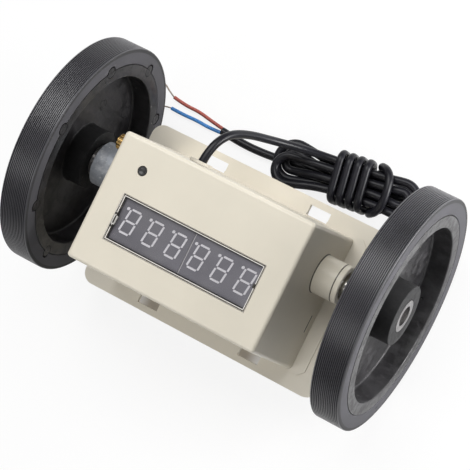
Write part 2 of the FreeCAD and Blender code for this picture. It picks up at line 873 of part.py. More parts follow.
def window_frame():
    """The bright bevelled rim that lines the window."""
    top = dim.case_top + dim.window_rim_proud
    low = top - dim.window_rim_height
    rim = dim.window_rim
    outer = block("window_rim_outer", (dim.window_left, dim.window_front, low),
                  (dim.window_right, dim.window_back, top))
    inner = block("window_rim_inner",
                  (dim.window_left + rim, dim.window_front + rim, low - 1),
                  (dim.window_right - rim, dim.window_back - rim, top + 1))
    return keep("window_frame", cut("window_frame", outer, inner))


def window_lens():
    top = dim.case_top + dim.window_rim_proud - dim.lens_setback
    rim = dim.window_rim + dim.fit_gap
    return keep("window_lens", block(
        "window_lens", (dim.window_left + rim, dim.window_front + rim, top - dim.lens_thickness),
        (dim.window_right - rim, dim.window_back - rim, top)))


def display_module(word, side):
    """One three-digit display module, standing on the board behind the lens."""
    margin = dim.window_rim + dim.module_margin
    half_gap = dim.module_gap / 2
    ends = ((dim.window_left + margin, dim.module_seam - half_gap) if side < 0
            else (dim.module_seam + half_gap, dim.window_right - margin))
    return keep(f"display_module_{word}", block(
        f"display_module_{word}", (ends[0], dim.window_front + margin, board_top()),
        (ends[1], dim.window_back - margin, module_top())))


def main_board():
    top = board_top()
    low = top - dim.board_thickness
    plate = block("main_board_blank", (dim.board_left, dim.board_front, low),
                  (dim.board_right, dim.board_back, top))
    holes = [cylinder(f"main_board_hole_{number}", dim.board_screw_radius + dim.seat_gap,
                      dim.board_thickness + 1, (x, y, low - 0.5))
             for number, (x, y) in enumerate(board_screw_spots())]
    return keep("main_board", cut("main_board", plate, *holes))


def pan_screw(name, radius, head_radius, length, at, axis):
    """A pan-head screw: at is under its head, and it points along the axis."""
    back = {"z": (0, 0, -1), "-z": (0, 0, 1)}[axis]
    head_height = head_radius * 0.6
    thread = cylinder(f"{name}_thread", radius, length, at, axis)
    spot = tuple(as_size(c) + head_height * step for c, step in zip(at, back))
    head = cylinder(f"{name}_head", head_radius, head_height, spot, axis)
    return fuse(name, thread, head)


window_frame()
window_lens()
display_module("left", -1)
display_module("right", 1)
main_board()
keep("board_screws", group("board_screws", *(
    pan_screw(f"board_screw_{number}", dim.board_screw_radius, dim.board_screw_head_radius,
              dim.board_screw_length + dim.board_thickness - 0.6,
              (x, y, board_top() - dim.board_thickness), "z")
    for number, (x, y) in enumerate(board_screw_spots()))))


# Parts on the main board

def underside(name, x, y, length, width, height):
    """A block that hangs from the board's lower face, by its middle and size."""
    top = board_top() - dim.board_thickness
    return keep(name, block(name, (x - length / 2, y - width / 2, top - height),
                            (x + length / 2, y + width / 2, top)))


underside("controller_chip", dim.chip_x, dim.chip_y, dim.chip_side, dim.chip_side,
          dim.chip_height)
underside("lead_terminal", dim.cord_exit_x, dim.terminal_y, dim.terminal_length,
          dim.terminal_width, dim.terminal_height)
keep("smoothing_capacitor", cylinder(
    "smoothing_capacitor", dim.capacitor_radius, dim.capacitor_height,
    (dim.capacitor_x, dim.capacitor_y, board_top() - dim.board_thickness), "-z"))


# Reset button over its switch

def reset_switch():
    top = board_top() + dim.switch_height
    half = dim.switch_side / 2
    housing = block("switch_housing", (dim.button_x - half, dim.button_y - half, board_top()),
                    (dim.button_x + half, dim.button_y + half, top))
    well = cylinder("switch_well", dim.plunger_radius + dim.seat_gap, dim.switch_height - 1,
                    (dim.button_x, dim.button_y, board_top() + 1))
    return keep("reset_switch", cut("reset_switch", housing, well))


def switch_plunger():
    """The switch's own plunger: it stands out of the well and sinks with the button."""
    foot = board_top() + 1 + dim.button_travel + 0.2
    return keep("switch_plunger", cylinder(
        "switch_plunger", dim.plunger_radius, plunger_top() - foot,
        (dim.button_x, dim.button_y, foot)))


def plunger_top():
    return board_top() + dim.switch_height + dim.plunger_height


def reset_button():
    """The black cap: a stem in the case's hole and a flange under the ceiling."""
    top = dim.case_top - dim.button_setback
    foot = plunger_top()
    flange_top = dim.case_top - dim.case_wall - dim.seat_gap
    stem = cylinder("button_stem", dim.button_radius, top - foot, (dim.button_x, dim.button_y, foot))
    flange = cylinder("button_flange", dim.button_flange_radius, dim.button_flange_thickness,
                      (dim.button_x, dim.button_y, flange_top - dim.button_flange_thickness))
    dimple = shape("Part::Sphere", "button_dimple", (dim.button_x, dim.button_y, top + 2.6), None,
                   Radius=2.9)
    return keep("reset_button", cut("reset_button", fuse("button_blank", stem, flange), dimple))


reset_switch()
switch_plunger()
reset_button()


# Counting disc on the shaft and the two light barriers that read it

def counting_disc():
    rim = cylinder("disc_blank", dim.disc_radius, dim.disc_thickness, (dim.disc_x, 0, 0), "x")
    cutters = [cylinder("disc_bore", dim.shaft_radius + dim.fit_gap, dim.disc_thickness + 2,
                        (dim.disc_x - 1, 0, 0), "x")]
    count = int(dim.disc_slots.value)
    for index in range(count):
        slot = block(f"disc_slot_{index}",
                     (dim.disc_x - 1, -dim.disc_slot_width / 2, dim.disc_radius - dim.disc_slot_depth),
                     (dim.disc_x + dim.disc_thickness + 1, dim.disc_slot_width / 2,
                      dim.disc_radius + 1))
        angle = 2 * math.pi * index / count
        foot = dim.disc_radius - dim.disc_slot_depth
        half = dim.disc_slot_width / 2
        across = -half * math.cos(angle) - foot * math.sin(angle)
        along = -half * math.sin(angle) + foot * math.cos(angle)
        place(slot, (dim.disc_x - 1, across, along), Rotation(Vector(1, 0, 0), math.degrees(angle)))
        cutters.append(slot)
    return keep("counting_disc", cut("counting_disc", rim, *cutters))


def disc_hub():
    low = dim.disc_x + dim.disc_thickness
    ring = tube("disc_hub_ring", dim.disc_hub_radius, dim.shaft_radius + dim.fit_gap,
                dim.disc_hub_length, (low, 0, 0), "x")
    hole = cylinder("disc_hub_hole", dim.grub_radius * 0.75 + dim.fit_gap, dim.disc_hub_radius * 2,
                    (low + dim.disc_hub_length / 2, 0, 0), "-z")
    return keep("disc_hub", cut("disc_hub", ring, hole))


def disc_grub_screw():
    x = dim.disc_x + dim.disc_thickness + dim.disc_hub_length / 2
    foot = dim.shaft_radius + dim.fit_gap
    reach = dim.disc_hub_radius - 0.2
    thread = cylinder("disc_grub_thread", dim.grub_radius * 0.75, reach - foot, (x, 0, -foot), "-z")
    socket = cylinder("disc_grub_socket", dim.grub_radius * 0.4, 1.0, (x, 0, -reach), "z")
    return keep("disc_grub_screw", cut("disc_grub_screw", thread, socket))


def sensor_floor():
    return dim.plate_top + dim.seat_height + dim.sensor_post_height


def light_barrier(word, side):
    """A U-shaped light barrier that the disc's rim passes through."""
    middle = dim.disc_x + dim.disc_thickness / 2
    y = dim.fork_spread / 2 * side
    low = sensor_floor() + dim.board_thickness
    half = dim.fork_gap / 2 + dim.fork_arm
    housing = block(f"{word}_barrier_blank", (middle - half, y - dim.fork_width / 2, low),
                    (middle + half, y + dim.fork_width / 2, low + dim.fork_height))
    gap = block(f"{word}_barrier_gap",
                (middle - dim.fork_gap / 2, y - dim.fork_width, low + dim.fork_floor),
                (middle + dim.fork_gap / 2, y + dim.fork_width, low + dim.fork_height + 1))
    return cut(f"{word}_barrier", housing, gap)


def sensor_screw_spots():
    middle = dim.disc_x + dim.disc_thickness / 2
    reach = dim.sensor_board_length / 2 - dim.sensor_post_radius
    side = dim.sensor_board_width / 2 - dim.sensor_post_radius
    return [(middle + reach * across, side * across) for across in (-1, 1)]


def sensor_board():
    middle = dim.disc_x + dim.disc_thickness / 2
    low = sensor_floor()
    half_length, half_width = dim.sensor_board_length / 2, dim.sensor_board_width / 2
    plate = block("sensor_board_blank", (middle - half_length, -half_width, low),
                  (middle + half_length, half_width, low + dim.board_thickness))
    holes = [cylinder(f"sensor_board_hole_{number}", dim.sensor_screw_radius + dim.seat_gap,
                      dim.board_thickness + 1, (x, y, low - 0.5))
             for number, (x, y) in enumerate(sensor_screw_spots())]
    return keep("sensor_board", cut("sensor_board", plate, *holes))


counting_disc()
disc_hub()
disc_grub_screw()
sensor_board()
keep("light_barriers", group("light_barriers", *(
    light_barrier(word, side) for side, word in CASE_SIDES)))
keep("sensor_spacers", group("sensor_spacers", *(
    tube(f"sensor_spacer_{number}", dim.sensor_post_radius, dim.sensor_screw_radius + dim.fit_gap,
         dim.sensor_post_height, (x, y, dim.plate_top + dim.seat_height))
    for number, (x, y) in enumerate(sensor_screw_spots()))))
keep("sensor_screws", group("sensor_screws", *(
    pan_screw(f"sensor_screw_{number}", dim.sensor_screw_radius, dim.sensor_screw_head_radius,
              dim.sensor_post_height + dim.board_thickness - 0.1,
              (x, y, sensor_floor() + dim.board_thickness), "-z")
    for number, (x, y) in enumerate(sensor_screw_spots()))))
ribbon_x = dim.disc_x + dim.disc_thickness / 2 + dim.sensor_board_length / 2 - 5
keep("sensor_ribbon", block(
    "sensor_ribbon",
    (ribbon_x, -dim.sensor_board_width / 2 + 0.5, sensor_floor() + dim.board_thickness),
    (ribbon_x + dim.ribbon_thickness, -dim.sensor_board_width / 2 + 0.5 + dim.ribbon_width,
     board_top() - dim.board_thickness)))


# Earthing stud at the left end

def earth_stud():
    inner = dim.case_left + dim.case_wall
    end = stud_nut_x() - dim.stud_end
    rod = cylinder("stud_rod", dim.stud_radius, inner - end, (end, dim.stud_y, dim.stud_z), "x")
    head = cylinder("stud_head", dim.stud_head_radius, dim.stud_head_thickness,
                    (inner, dim.stud_y, dim.stud_z), "x")
    return keep("earth_stud", fuse("earth_stud", rod, head))


def stud_nut_x():
    return dim.case_left - dim.stud_washer_thickness - dim.stud_nut_length


def earth_washer():
    return keep("earth_washer", tube(
        "earth_washer", dim.stud_washer_radius, dim.stud_radius + dim.fit_gap,
        dim.stud_washer_thickness,
        (dim.case_left - dim.stud_washer_thickness, dim.stud_y, dim.stud_z), "x"))


def earth_nut():
    """A brass thumb nut with straight ribs round it."""
    x = stud_nut_x()
    core = dim.stud_nut_radius - 0.35
    parts = [cylinder("nut_core", core, dim.stud_nut_length, (x, dim.stud_y, dim.stud_z), "x")]
    count = int(dim.stud_nut_ribs.value)
    for index in range(count):
        angle = 2 * math.pi * index / count
        y = dim.stud_y + core * math.cos(angle)
        z = dim.stud_z + core * math.sin(angle)
        parts.append(cylinder(f"nut_rib_{index}", dim.stud_nut_radius - core,
                              dim.stud_nut_length - 0.8, (x + 0.4, y, z), "x"))
    hole = cylinder("nut_hole", dim.stud_radius + dim.fit_gap, dim.stud_nut_length + 2,
                    (x - 1, dim.stud_y, dim.stud_z), "x")
    return keep("earth_nut", cut("earth_nut", fuse("nut_blank", *parts), hole))


earth_stud()
earth_washer()
earth_nut()


# Lead: grommet, free stretch, hank, tail and stripped cores

def back_face_y(z):
    """The outer Y of the drafted back wall at one height."""
    foot = dim.plate_top + dim.seat_height
    share = (z - foot) / (dim.case_top - foot)
    return dim.case_back_foot + (dim.case_back_top - dim.case_back_foot) * share


def grommet():
    """The rubber bush in the back wall, with a lip on each face of it."""
    outside = back_face_y(dim.cord_exit_z) + dim.grommet_lip + 0.1
    inside = back_face_y(dim.cord_exit_z) - dim.case_wall - dim.grommet_lip - 0.1
    x, z = dim.cord_exit_x, dim.cord_exit_z
    barrel = cylinder("grommet_barrel", dim.grommet_radius, outside - inside, (x, inside, z), "y")
    lips = [cylinder(f"grommet_{word}_lip", dim.grommet_lip_radius, dim.grommet_lip, (x, y, z), "y")
            for word, y in (("inner", inside), ("outer", outside - dim.grommet_lip))]
    hole = cylinder("grommet_hole_through", dim.cord_radius + dim.fit_gap, outside - inside + 2,
                    (x, inside - 1, z), "y")
    return keep("lead_grommet", cut("lead_grommet", fuse("grommet_blank", barrel, *lips), hole))


grommet()


def tangent_route(points, radii):
    """Straight runs joined by tangent arcs, one radius for each inner point."""
    edges = []
    start = points[0]
    for before, corner, after, radius in zip(points, points[1:], points[2:], radii):
        incoming = (corner - before).normalize()
        outgoing = (after - corner).normalize()
        half_turn = incoming.getAngle(outgoing) / 2
        reach = radius * math.tan(half_turn)
        inward = (outgoing - incoming).normalize()
        centre = corner + inward * (radius / math.cos(half_turn))
        arc_start, arc_end = corner - incoming * reach, corner + outgoing * reach
        if (arc_start - start).dot(incoming) < -1e-6:
            raise ValueError(f"no room for the bend at {corner}")
        if (arc_start - start).Length > 1e-4:
            edges.append(Part.makeLine(start, arc_start))
        edges.append(Part.Arc(arc_start, centre - inward * radius, arc_end).toShape())
        start = arc_end
    edges.append(Part.makeLine(start, points[-1]))
    return edges


def free_bends(points):
    """Bend radii of a loose cord: each takes 0.45 of its shorter run."""
    radii = []
    for before, corner, after in zip(points, points[1:], points[2:]):
        incoming, outgoing = corner - before, after - corner
        half_turn = incoming.getAngle(outgoing) / 2
        radii.append(0.45 * min(incoming.Length, outgoing.Length) / math.tan(half_turn))
    return radii


def cord_tube(name, points, radii, radius):
    """A round cord swept along its route in one piece."""
    edges = tangent_route(points, radii)
    route = Part.Wire(edges)
    start = (points[1] - points[0]).normalize()
    profile = Part.Wire([Part.makeCircle(radius.value, points[0], start)])
    item = doc.addObject("Part::Feature", name)
    item.Shape = route.makePipeShell([profile], True, False)
    expected = math.pi * radius.value ** 2 * route.Length
    print(f"{name}: {route.Length:.1f} mm long, volume / (section x length) "
          f"{item.Shape.Volume / expected:.4f}, tightest bend {min(radii):.1f} mm")
    return item, edges


def own_gap(edges, radius, skip):
    """The least gap of a tube to itself, measured on points along its route."""
    spots, travelled = [], []
    done = 0.0
    for edge in edges:
        count = max(2, int(edge.Length / 0.6))
        for number in range(count):
            along = edge.Length * number / count
            spots.append(edge.valueAt(edge.getParameterByLength(along)))
            travelled.append(done + along)
        done += edge.Length
    least = 1e9
    for first, spot in enumerate(spots):
        for second in range(first + 1, len(spots)):
            if travelled[second] - travelled[first] > skip:
                least = min(least, spot.distanceToPoint(spots[second]))
    return least - radius.value * 2


cord_step = (dim.cord_radius * 2 + dim.strand_gap).value
standing_z = -dim.wheel_radius.value
wrap_bottom = standing_z + (dim.floor_gap + dim.cord_radius).value
layer_low = wrap_bottom + cord_step
layer_high = layer_low + cord_step
wrap_top = layer_high + cord_step
lane_inner, lane_outer = cord_step / 2, cord_step * 1.5


def hank_point(along, across, height):
    """A point of the hank, from its own long and cross axes."""
    turn = math.radians(dim.hank_turn.value)
    return Vector(dim.hank_x.value + along * math.cos(turn) - across * math.sin(turn),
                  dim.hank_y.value + along * math.sin(turn) + across * math.cos(turn), height)


def hank_corners():
    """The loops as corners with bend radii: in by the outer lane, down a layer, out by it again."""
    right, left = dim.hank_right_end.value, dim.hank_left_end.value
    waist = dim.waist_left.value
    shift, spread = dim.hank_left_shift.value, dim.hank_left_spread.value
    corners = [(waist - 2.0, lane_outer, layer_high, 8.0)]

    def right_turn(far, near, height):
        bend = (far + near) / 2
        corners.append((right + bend, far, height, bend - 0.002))
        corners.append((right + bend, -near, height, bend - 0.002))

    def left_turn(near, far, height, above=None):
        wide_near, wide_far = near * 1.13 + spread, far * 1.13 + spread
        bend = (wide_near + wide_far) / 2
        corners.append((waist, -near, height if above is None else above, 16.0))
        corners.append((-left - bend, shift - wide_near, height, bend * 0.9))
        corners.append((-left - bend, shift + wide_far, height, bend * 0.9))
        corners.append((waist, far, height, 16.0))

    right_turn(lane_outer, lane_outer, layer_high)
    left_turn(lane_outer, lane_inner, layer_high)
    right_turn(lane_inner, lane_inner, layer_high)
    left_turn(lane_inner, lane_inner, layer_low, above=layer_high)
    right_turn(lane_inner, lane_outer, layer_low)
    left_turn(lane_outer, lane_outer, layer_low)
    return corners


def wrap_corners():
    """The turns wound round the hank: one loose, then tight ones toward its left end."""
    bend = cord_step
    side = lane_outer + cord_step
    first, pitch = dim.wrap_start.value, dim.wrap_pitch.value
    corners = [
        (first + 5.0, lane_outer, layer_low, 4.0),
        (first + 9.5, lane_outer, wrap_bottom, 4.0),
        (first + 16.2, lane_outer, wrap_bottom, bend),
        (first + 13.6, -side, wrap_bottom, bend),
        (first + 6.3, -side, wrap_top, bend),
        (first + 3.8, side, wrap_top, bend),
        (first + 2.4, side, wrap_bottom, bend),
    ]
    for number in range(int(dim.wrap_count.value)):
        place_u = first - pitch * number
        for across, height, fall in ((-side, wrap_bottom, 0.0), (-side, wrap_top, 0.2),
                                     (side, wrap_top, 0.52), (side, wrap_bottom, 0.7)):
            corners.append((place_u - pitch * fall, across, height, bend))
    last = first - pitch * int(dim.wrap_count.value)
    corners.append((last - 0.4, -lane_outer + 1.0, wrap_bottom, bend))
    return corners


def toward(start, end, distance):
    return start + (end - start).normalize() * distance


lead_corners = [
    Vector(dim.cord_exit_x.value, (back_face_y(dim.cord_exit_z) - dim.case_wall).value - 2.5,
           dim.cord_exit_z.value),
    Vector(-21.9, 21.8, dim.cord_exit_z.value),
    Vector(-19.3, 31.2, 1.0),
    Vector(-15.8, 35.2, -9.5),
    Vector(-9.0, 37.6, -23.0),
    Vector(0.0, 39.9, wrap_top + 1.8),
]
tail_corners = [
    Vector(-3.0, 30.9, wrap_bottom),
    Vector(-18.0, 31.3, wrap_bottom),
    Vector(-30.0, 31.2, wrap_bottom),
    Vector(-39.8, 32.3, wrap_bottom),
]


hank = hank_corners() + wrap_corners()
hank_middle = [hank_point(u, v, z) for u, v, z, _ in hank]
hank_points = [toward(hank_middle[0], lead_corners[-1], 5.0), *hank_middle,
               toward(hank_middle[-1], tail_corners[0], 8.0)]
hank_tube, hank_edges = cord_tube("cord_hank", hank_points, [bend for *_, bend in hank],
                                  dim.cord_radius)
keep("cord_hank", hank_tube)
print(f"cord_hank: least gap to itself {own_gap(hank_edges, dim.cord_radius, 7.0):.2f} mm")

lead_points = [*lead_corners, hank_points[0]]
keep("cord_lead", cord_tube("cord_lead", lead_points, free_bends(lead_points), dim.cord_radius)[0])
tail_points = [hank_points[-1], *tail_corners]
keep("cord_tail", cord_tube("cord_tail", tail_points, free_bends(tail_points), dim.cord_radius)[0])


def floor_points(radius, spots):
    height = standing_z + (dim.floor_gap + radius).value
    return [Vector(x, y, height) for x, y in spots]


CORES = (
    ("red", ((-39.9, 33.15), (-46.0, 34.0), (-53.0, 35.3), (-60.0, 35.2), (-66.0, 36.2))),
    ("blue", ((-40.05, 31.45), (-46.0, 31.1), (-52.5, 31.6), (-59.0, 31.3), (-65.0, 31.6))),
)
STRANDS = (
    ("red", ((-66.1, 36.2), (-69.2, 37.6), (-72.2, 39.6), (-74.6, 40.0))),
    ("blue", ((-65.1, 31.6), (-69.0, 31.2), (-73.2, 28.6), (-77.6, 23.8))),
)
for colour, spots in CORES:
    route = floor_points(dim.core_radius, spots)
    keep(f"{colour}_core", cord_tube(f"{colour}_core", route, free_bends(route), dim.core_radius)[0])
for colour, spots in STRANDS:
    route = floor_points(dim.core_radius, spots)
    keep(f"{colour}_strands",
         cord_tube(f"{colour}_strands", route, free_bends(route), dim.strand_radius)[0])

inner_tubes = []
for side, word in ((-1, "red"), (1, "blue")):
    x = dim.cord_exit_x.value + (dim.core_radius.value + 0.05) * side
    terminal_foot = (board_top() - dim.board_thickness - dim.terminal_height).value
    height = dim.cord_exit_z.value
    route = [Vector(x, lead_corners[0].y - 0.05, height), Vector(x, -2.0, height),
             Vector(x, -2.0, terminal_foot)]
    inner_tubes.append(cord_tube(f"inner_{word}", route, [4.0], dim.core_radius)[0])
keep("inner_cores", group("inner_cores", *inner_tubes))


doc.recompute()
faults = [item.Name for item in doc.Objects if {"Invalid", "Error"} & set(item.State)]
if faults:
    raise RuntimeError(f"failed objects: {faults}")
os.makedirs("parts", exist_ok=True)
for name, item in nodes.items():
    solid = item.Shape
    if solid.isNull() or not solid.isValid() or not solid.Solids:
        raise RuntimeError(f"{name} has no valid solid")
for name, item in nodes.items():
    item.Shape.exportStep(f"parts/{name}.step")
print(f"{len(nodes)} sub-parts written")
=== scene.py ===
"""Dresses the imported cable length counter: lead, treads, wheels, display, finishes and stage.

All places and lengths are in metres, in the CAD frame: X along the shaft, Y to the side where the
lead leaves, Z up out of the display's face. Only the lead's route is in millimetres.
"""
import math

import bpy
from bpy.props import FloatProperty, FloatVectorProperty, IntProperty, PointerProperty
from mathutils import Matrix, Vector


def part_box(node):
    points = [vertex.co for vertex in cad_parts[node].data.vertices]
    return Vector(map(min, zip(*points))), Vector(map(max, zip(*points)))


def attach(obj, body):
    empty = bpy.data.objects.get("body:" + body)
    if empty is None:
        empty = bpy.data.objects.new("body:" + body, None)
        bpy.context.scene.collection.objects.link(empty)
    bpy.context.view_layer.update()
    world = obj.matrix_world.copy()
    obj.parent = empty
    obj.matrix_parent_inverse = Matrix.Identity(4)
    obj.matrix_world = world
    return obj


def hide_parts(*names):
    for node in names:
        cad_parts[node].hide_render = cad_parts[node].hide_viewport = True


bl_info = {
    "name": "Cable length counter",
    "version": (1, 0, 0),
    "blender": (4, 5, 0),
    "location": "View3D > Sidebar > Counter",
    "description": "Builds what shows of a two-wheel cable length counter over its CAD frame",
    "category": "Object",
}

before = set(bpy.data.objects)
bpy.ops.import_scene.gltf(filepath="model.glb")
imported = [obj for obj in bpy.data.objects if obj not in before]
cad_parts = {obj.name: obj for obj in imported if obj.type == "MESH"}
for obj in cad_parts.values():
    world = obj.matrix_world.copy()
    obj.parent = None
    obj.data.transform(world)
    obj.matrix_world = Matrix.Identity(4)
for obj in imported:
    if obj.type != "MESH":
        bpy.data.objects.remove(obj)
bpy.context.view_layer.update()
MM = 0.001
WHEELS = (("left", -1), ("right", 1))  # each with the direction of its outer side along X


def wheel_middle(word):
    """The middle of a wheel's width, along X."""
    low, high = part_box(f"{word}_tyre")
    return (low.x + high.x) / 2


def on_wheel(radius, degrees):
    """A spot on a wheel's side, as (y, z), by its radius and its angle from +Y."""
    angle = math.radians(degrees)
    return radius * math.cos(angle), radius * math.sin(angle)


# ---- Sizes and colours ----

def size(name, description, default):
    return FloatProperty(name=name, description=description, default=default, unit="LENGTH",
                         precision=5)


def colour(name, description, default):
    return FloatVectorProperty(name=name, description=description, default=default, size=3,
                               subtype="COLOR", min=0.0, max=1.0)


class CounterSizes(bpy.types.PropertyGroup):
    """Sizes of the pieces that are modelled here."""
    wheel_radius: size("Wheel radius", "Outside radius of the tread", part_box("right_tyre")[1].z)
    wheel_width: size("Wheel width", "Width of a wheel across its rim",
                      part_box("right_tyre")[1].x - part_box("right_tyre")[0].x)
    joint_radius: size("Joint radius", "Radius where the rubber ring meets the moulding", 0.0412)
    groove_pitch: size("Groove pitch", "Distance between two grooves of the tread", 0.00074)
    groove_depth: size("Groove depth", "Depth of the tread's grooves", 0.00044)
    grooves: IntProperty(name="Grooves", description="Grooves across the tread", default=15, min=3,
                         max=30)
    lug_radius: size("Lug radius", "Radius of the lugs that key the tyre", 0.0026)
    lug_depth: size("Lug depth", "Depth of the lugs that key the tyre", 0.0015)
    dish_radius: size("Dish radius", "Radius of the recess in the wheel", 0.036)
    dish_depth: size("Dish depth", "Depth of the recess to the web", 0.00865)
    web_thickness: size("Web thickness", "Thickness of the disc between hub and rim", 0.0024)
    hub_radius: size("Hub radius", "Outside radius of the hub", 0.0122)
    digit_height: size("Digit height", "Height of a digit, middle to middle of its bars", 0.0094)
    digit_width: size("Digit width", "Width of a digit, middle to middle of its bars", 0.0047)
    digit_pitch: size("Digit pitch", "Distance from one digit to the next", 0.01018)
    bar_width: size("Bar width", "Width of a digit's bar", 0.00078)
    cord_radius: size("Lead radius", "Radius of the black lead", 0.0017)
    core_radius: size("Core radius", "Radius of an insulated core", 0.00075)


class CounterColours(bpy.types.PropertyGroup):
    """Colours of the finishes."""
    case: colour("Case", "Beige moulding", (0.735, 0.685, 0.575))
    plate: colour("Base plate", "Beige paint", (0.79, 0.74, 0.635))
    moulding: colour("Wheel moulding", "Black plastic", (0.026, 0.025, 0.027))
    tread: colour("Tread", "Black rubber", (0.034, 0.033, 0.039))
    face: colour("Display face", "Dark face behind the lens", (0.125, 0.122, 0.140))
    digit: colour("Digits", "Unlit bars of the digits", (0.92, 0.90, 0.94))
    lead: colour("Lead", "Black sheath", (0.009, 0.009, 0.012))
    red: colour("Red core", "Insulation of one core", (0.40, 0.085, 0.06))
    blue: colour("Blue core", "Insulation of the other core", (0.06, 0.26, 0.66))
    zinc: colour("Zinc", "Dull zinc plating of the sleeve", (0.46, 0.49, 0.54))
    brass: colour("Brass", "Turned brass", (0.42, 0.27, 0.10))


def sizes():
    return bpy.context.scene.counter_sizes


def colours():
    return bpy.context.scene.counter_colours


# ---- Finishes ----

class Reading:
    """A value socket of a finish. Python's operators on it add Math nodes."""

    def __init__(self, finish, socket):
        self.finish = finish
        self.socket = socket

    def maths(self, operation, first, second):
        return self.finish.add("ShaderNodeMath", {"operation": operation}, {0: first, 1: second})

    def __add__(self, other):
        return self.maths("ADD", self, other)

    def __radd__(self, other):
        return self.maths("ADD", other, self)

    def __sub__(self, other):
        return self.maths("SUBTRACT", self, other)

    def __rsub__(self, other):
        return self.maths("SUBTRACT", other, self)

    def __mul__(self, other):
        return self.maths("MULTIPLY", self, other)

    def __rmul__(self, other):
        return self.maths("MULTIPLY", other, self)

    def __pow__(self, other):
        return self.maths("POWER", self, other)

    def __mod__(self, other):
        return self.maths("FLOORED_MODULO", self, other)

    def __abs__(self):
        return self.maths("ABSOLUTE", self, 0.0)

    def __gt__(self, other):
        return self.maths("GREATER_THAN", self, other)

    def __lt__(self, other):
        return self.maths("LESS_THAN", self, other)


class Finish:
    """A material whose nodes are added one by one."""

    def __init__(self, name):
        self.material = bpy.data.materials.new(name)
        self.material.use_nodes = True
        self.tree = self.material.node_tree
        self.tree.nodes.clear()
        self.place = self.add("ShaderNodeTexCoord", {}, {}, "Object")

    def add(self, kind, settings, values, output=0):
        """Add a node: its settings come first, then the values or links of its sockets."""
        node = self.tree.nodes.new(kind)
        for key, setting in settings.items():
            setattr(node, key, setting)
        for key, value in values.items():
            if isinstance(value, Reading):
                self.tree.links.new(value.socket, node.inputs[key])
            else:
                node.inputs[key].default_value = value
        return Reading(self, node.outputs[output])

    def stretched(self, scale):
        """Object coordinates, scaled along each axis."""
        return self.add("ShaderNodeMapping", {}, {"Vector": self.place, "Scale": scale})

    def noise(self, scale, detail=3.0, stretch=None, roughness=0.55):
        place = self.place if stretch is None else self.stretched(stretch)
        return self.add("ShaderNodeTexNoise", {}, {
            "Vector": place, "Scale": scale, "Detail": detail, "Roughness": roughness})

    def cells(self, scale, output):
        """Irregular cells: each spot's distance from its cell's middle, or its cell's colour."""
        return self.add("ShaderNodeTexVoronoi", {}, {"Vector": self.place, "Scale": scale}, output)

    def cell_share(self, scale):
        """A number from 0 to 1 that differs from cell to cell."""
        tint = self.cells(scale, "Color")
        return self.add("ShaderNodeSeparateColor", {}, {"Color": tint}, "Red")

    def specks(self, scale, reach, share):
        """A mask of small spots: cells of the scale, of which only a share has a spot."""
        return (self.cells(scale, "Distance") < reach) * (self.cell_share(scale) < share)

    def reach(self, y, z):
        """Distance from a line along X, given as (y, z)."""
        across, up = self.axis("Y") - y, self.axis("Z") - z
        return (across * across + up * up) ** 0.5

    def marks(self, spots, width):
        """A mask of thin soft-edged rings, each given by its middle and radius."""
        mask = 0.0
        for (y, z), radius in spots:
            edge = 1 - self.between(abs(self.reach(y, z) - radius), width * 0.4, width)
            mask = edge + mask
        return mask

    def axis(self, name):
        return self.add("ShaderNodeSeparateXYZ", {}, {"Vector": self.place}, name)

    def between(self, value, low, high):
        """The value's place between two limits, held to 0..1."""
        return self.add("ShaderNodeMapRange", {"clamp": True},
                        {"Value": value, "From Min": low, "From Max": high})

    def blend(self, share, first, second):
        """Mix two colours. The node's sockets go by number, because their names repeat."""
        values = {0: share, 6: rgba(first), 7: rgba(second)}
        return self.add("ShaderNodeMix", {"data_type": "RGBA"}, values, 2)

    def bump(self, height, distance, under=None):
        values = {"Height": height, "Distance": distance, "Strength": 1.0}
        if under is not None:
            values["Normal"] = under
        return self.add("ShaderNodeBump", {}, values)

    def surface(self, base, roughness, normal=None, **fixed):
        """Close the material with one shader; what is fixed is set on the shader's own sockets."""
        values = {"Base Color": rgba(base), "Roughness": roughness}
        if normal is not None:
            values["Normal"] = normal
        values.update({key.replace("_", " ").title().replace("Ior", "IOR"): value
                       for key, value in fixed.items()})
        shader = self.add("ShaderNodeBsdfPrincipled", {}, values)
        self.add_output(shader)
        return self.material

    def add_output(self, shader):
        node = self.tree.nodes.new("ShaderNodeOutputMaterial")
        self.tree.links.new(shader.socket, node.inputs["Surface"])


def rgba(tone):
    """A colour for a socket: a link as it is, or a plain colour with its alpha."""
    return tone if isinstance(tone, Reading) else (*tone[:3], 1.0)


def shade(tone, factor):
    """A plain colour made darker or lighter."""
    return tuple(channel * factor for channel in tone)


CASE_END = 0.03902                          # the end face of the case that carries the boss
BOSS_LINE, LINE_REACH = 0.00777, 0.00032    # the painted shade line round the boss's foot: radius, half width
SLIT_MIDDLE = (-0.0201, -0.0152)            # the slit in that face, painted dark inside as shade, as (y, z), and its half sizes
SLIT_REACH = (0.0036, 0.00045)


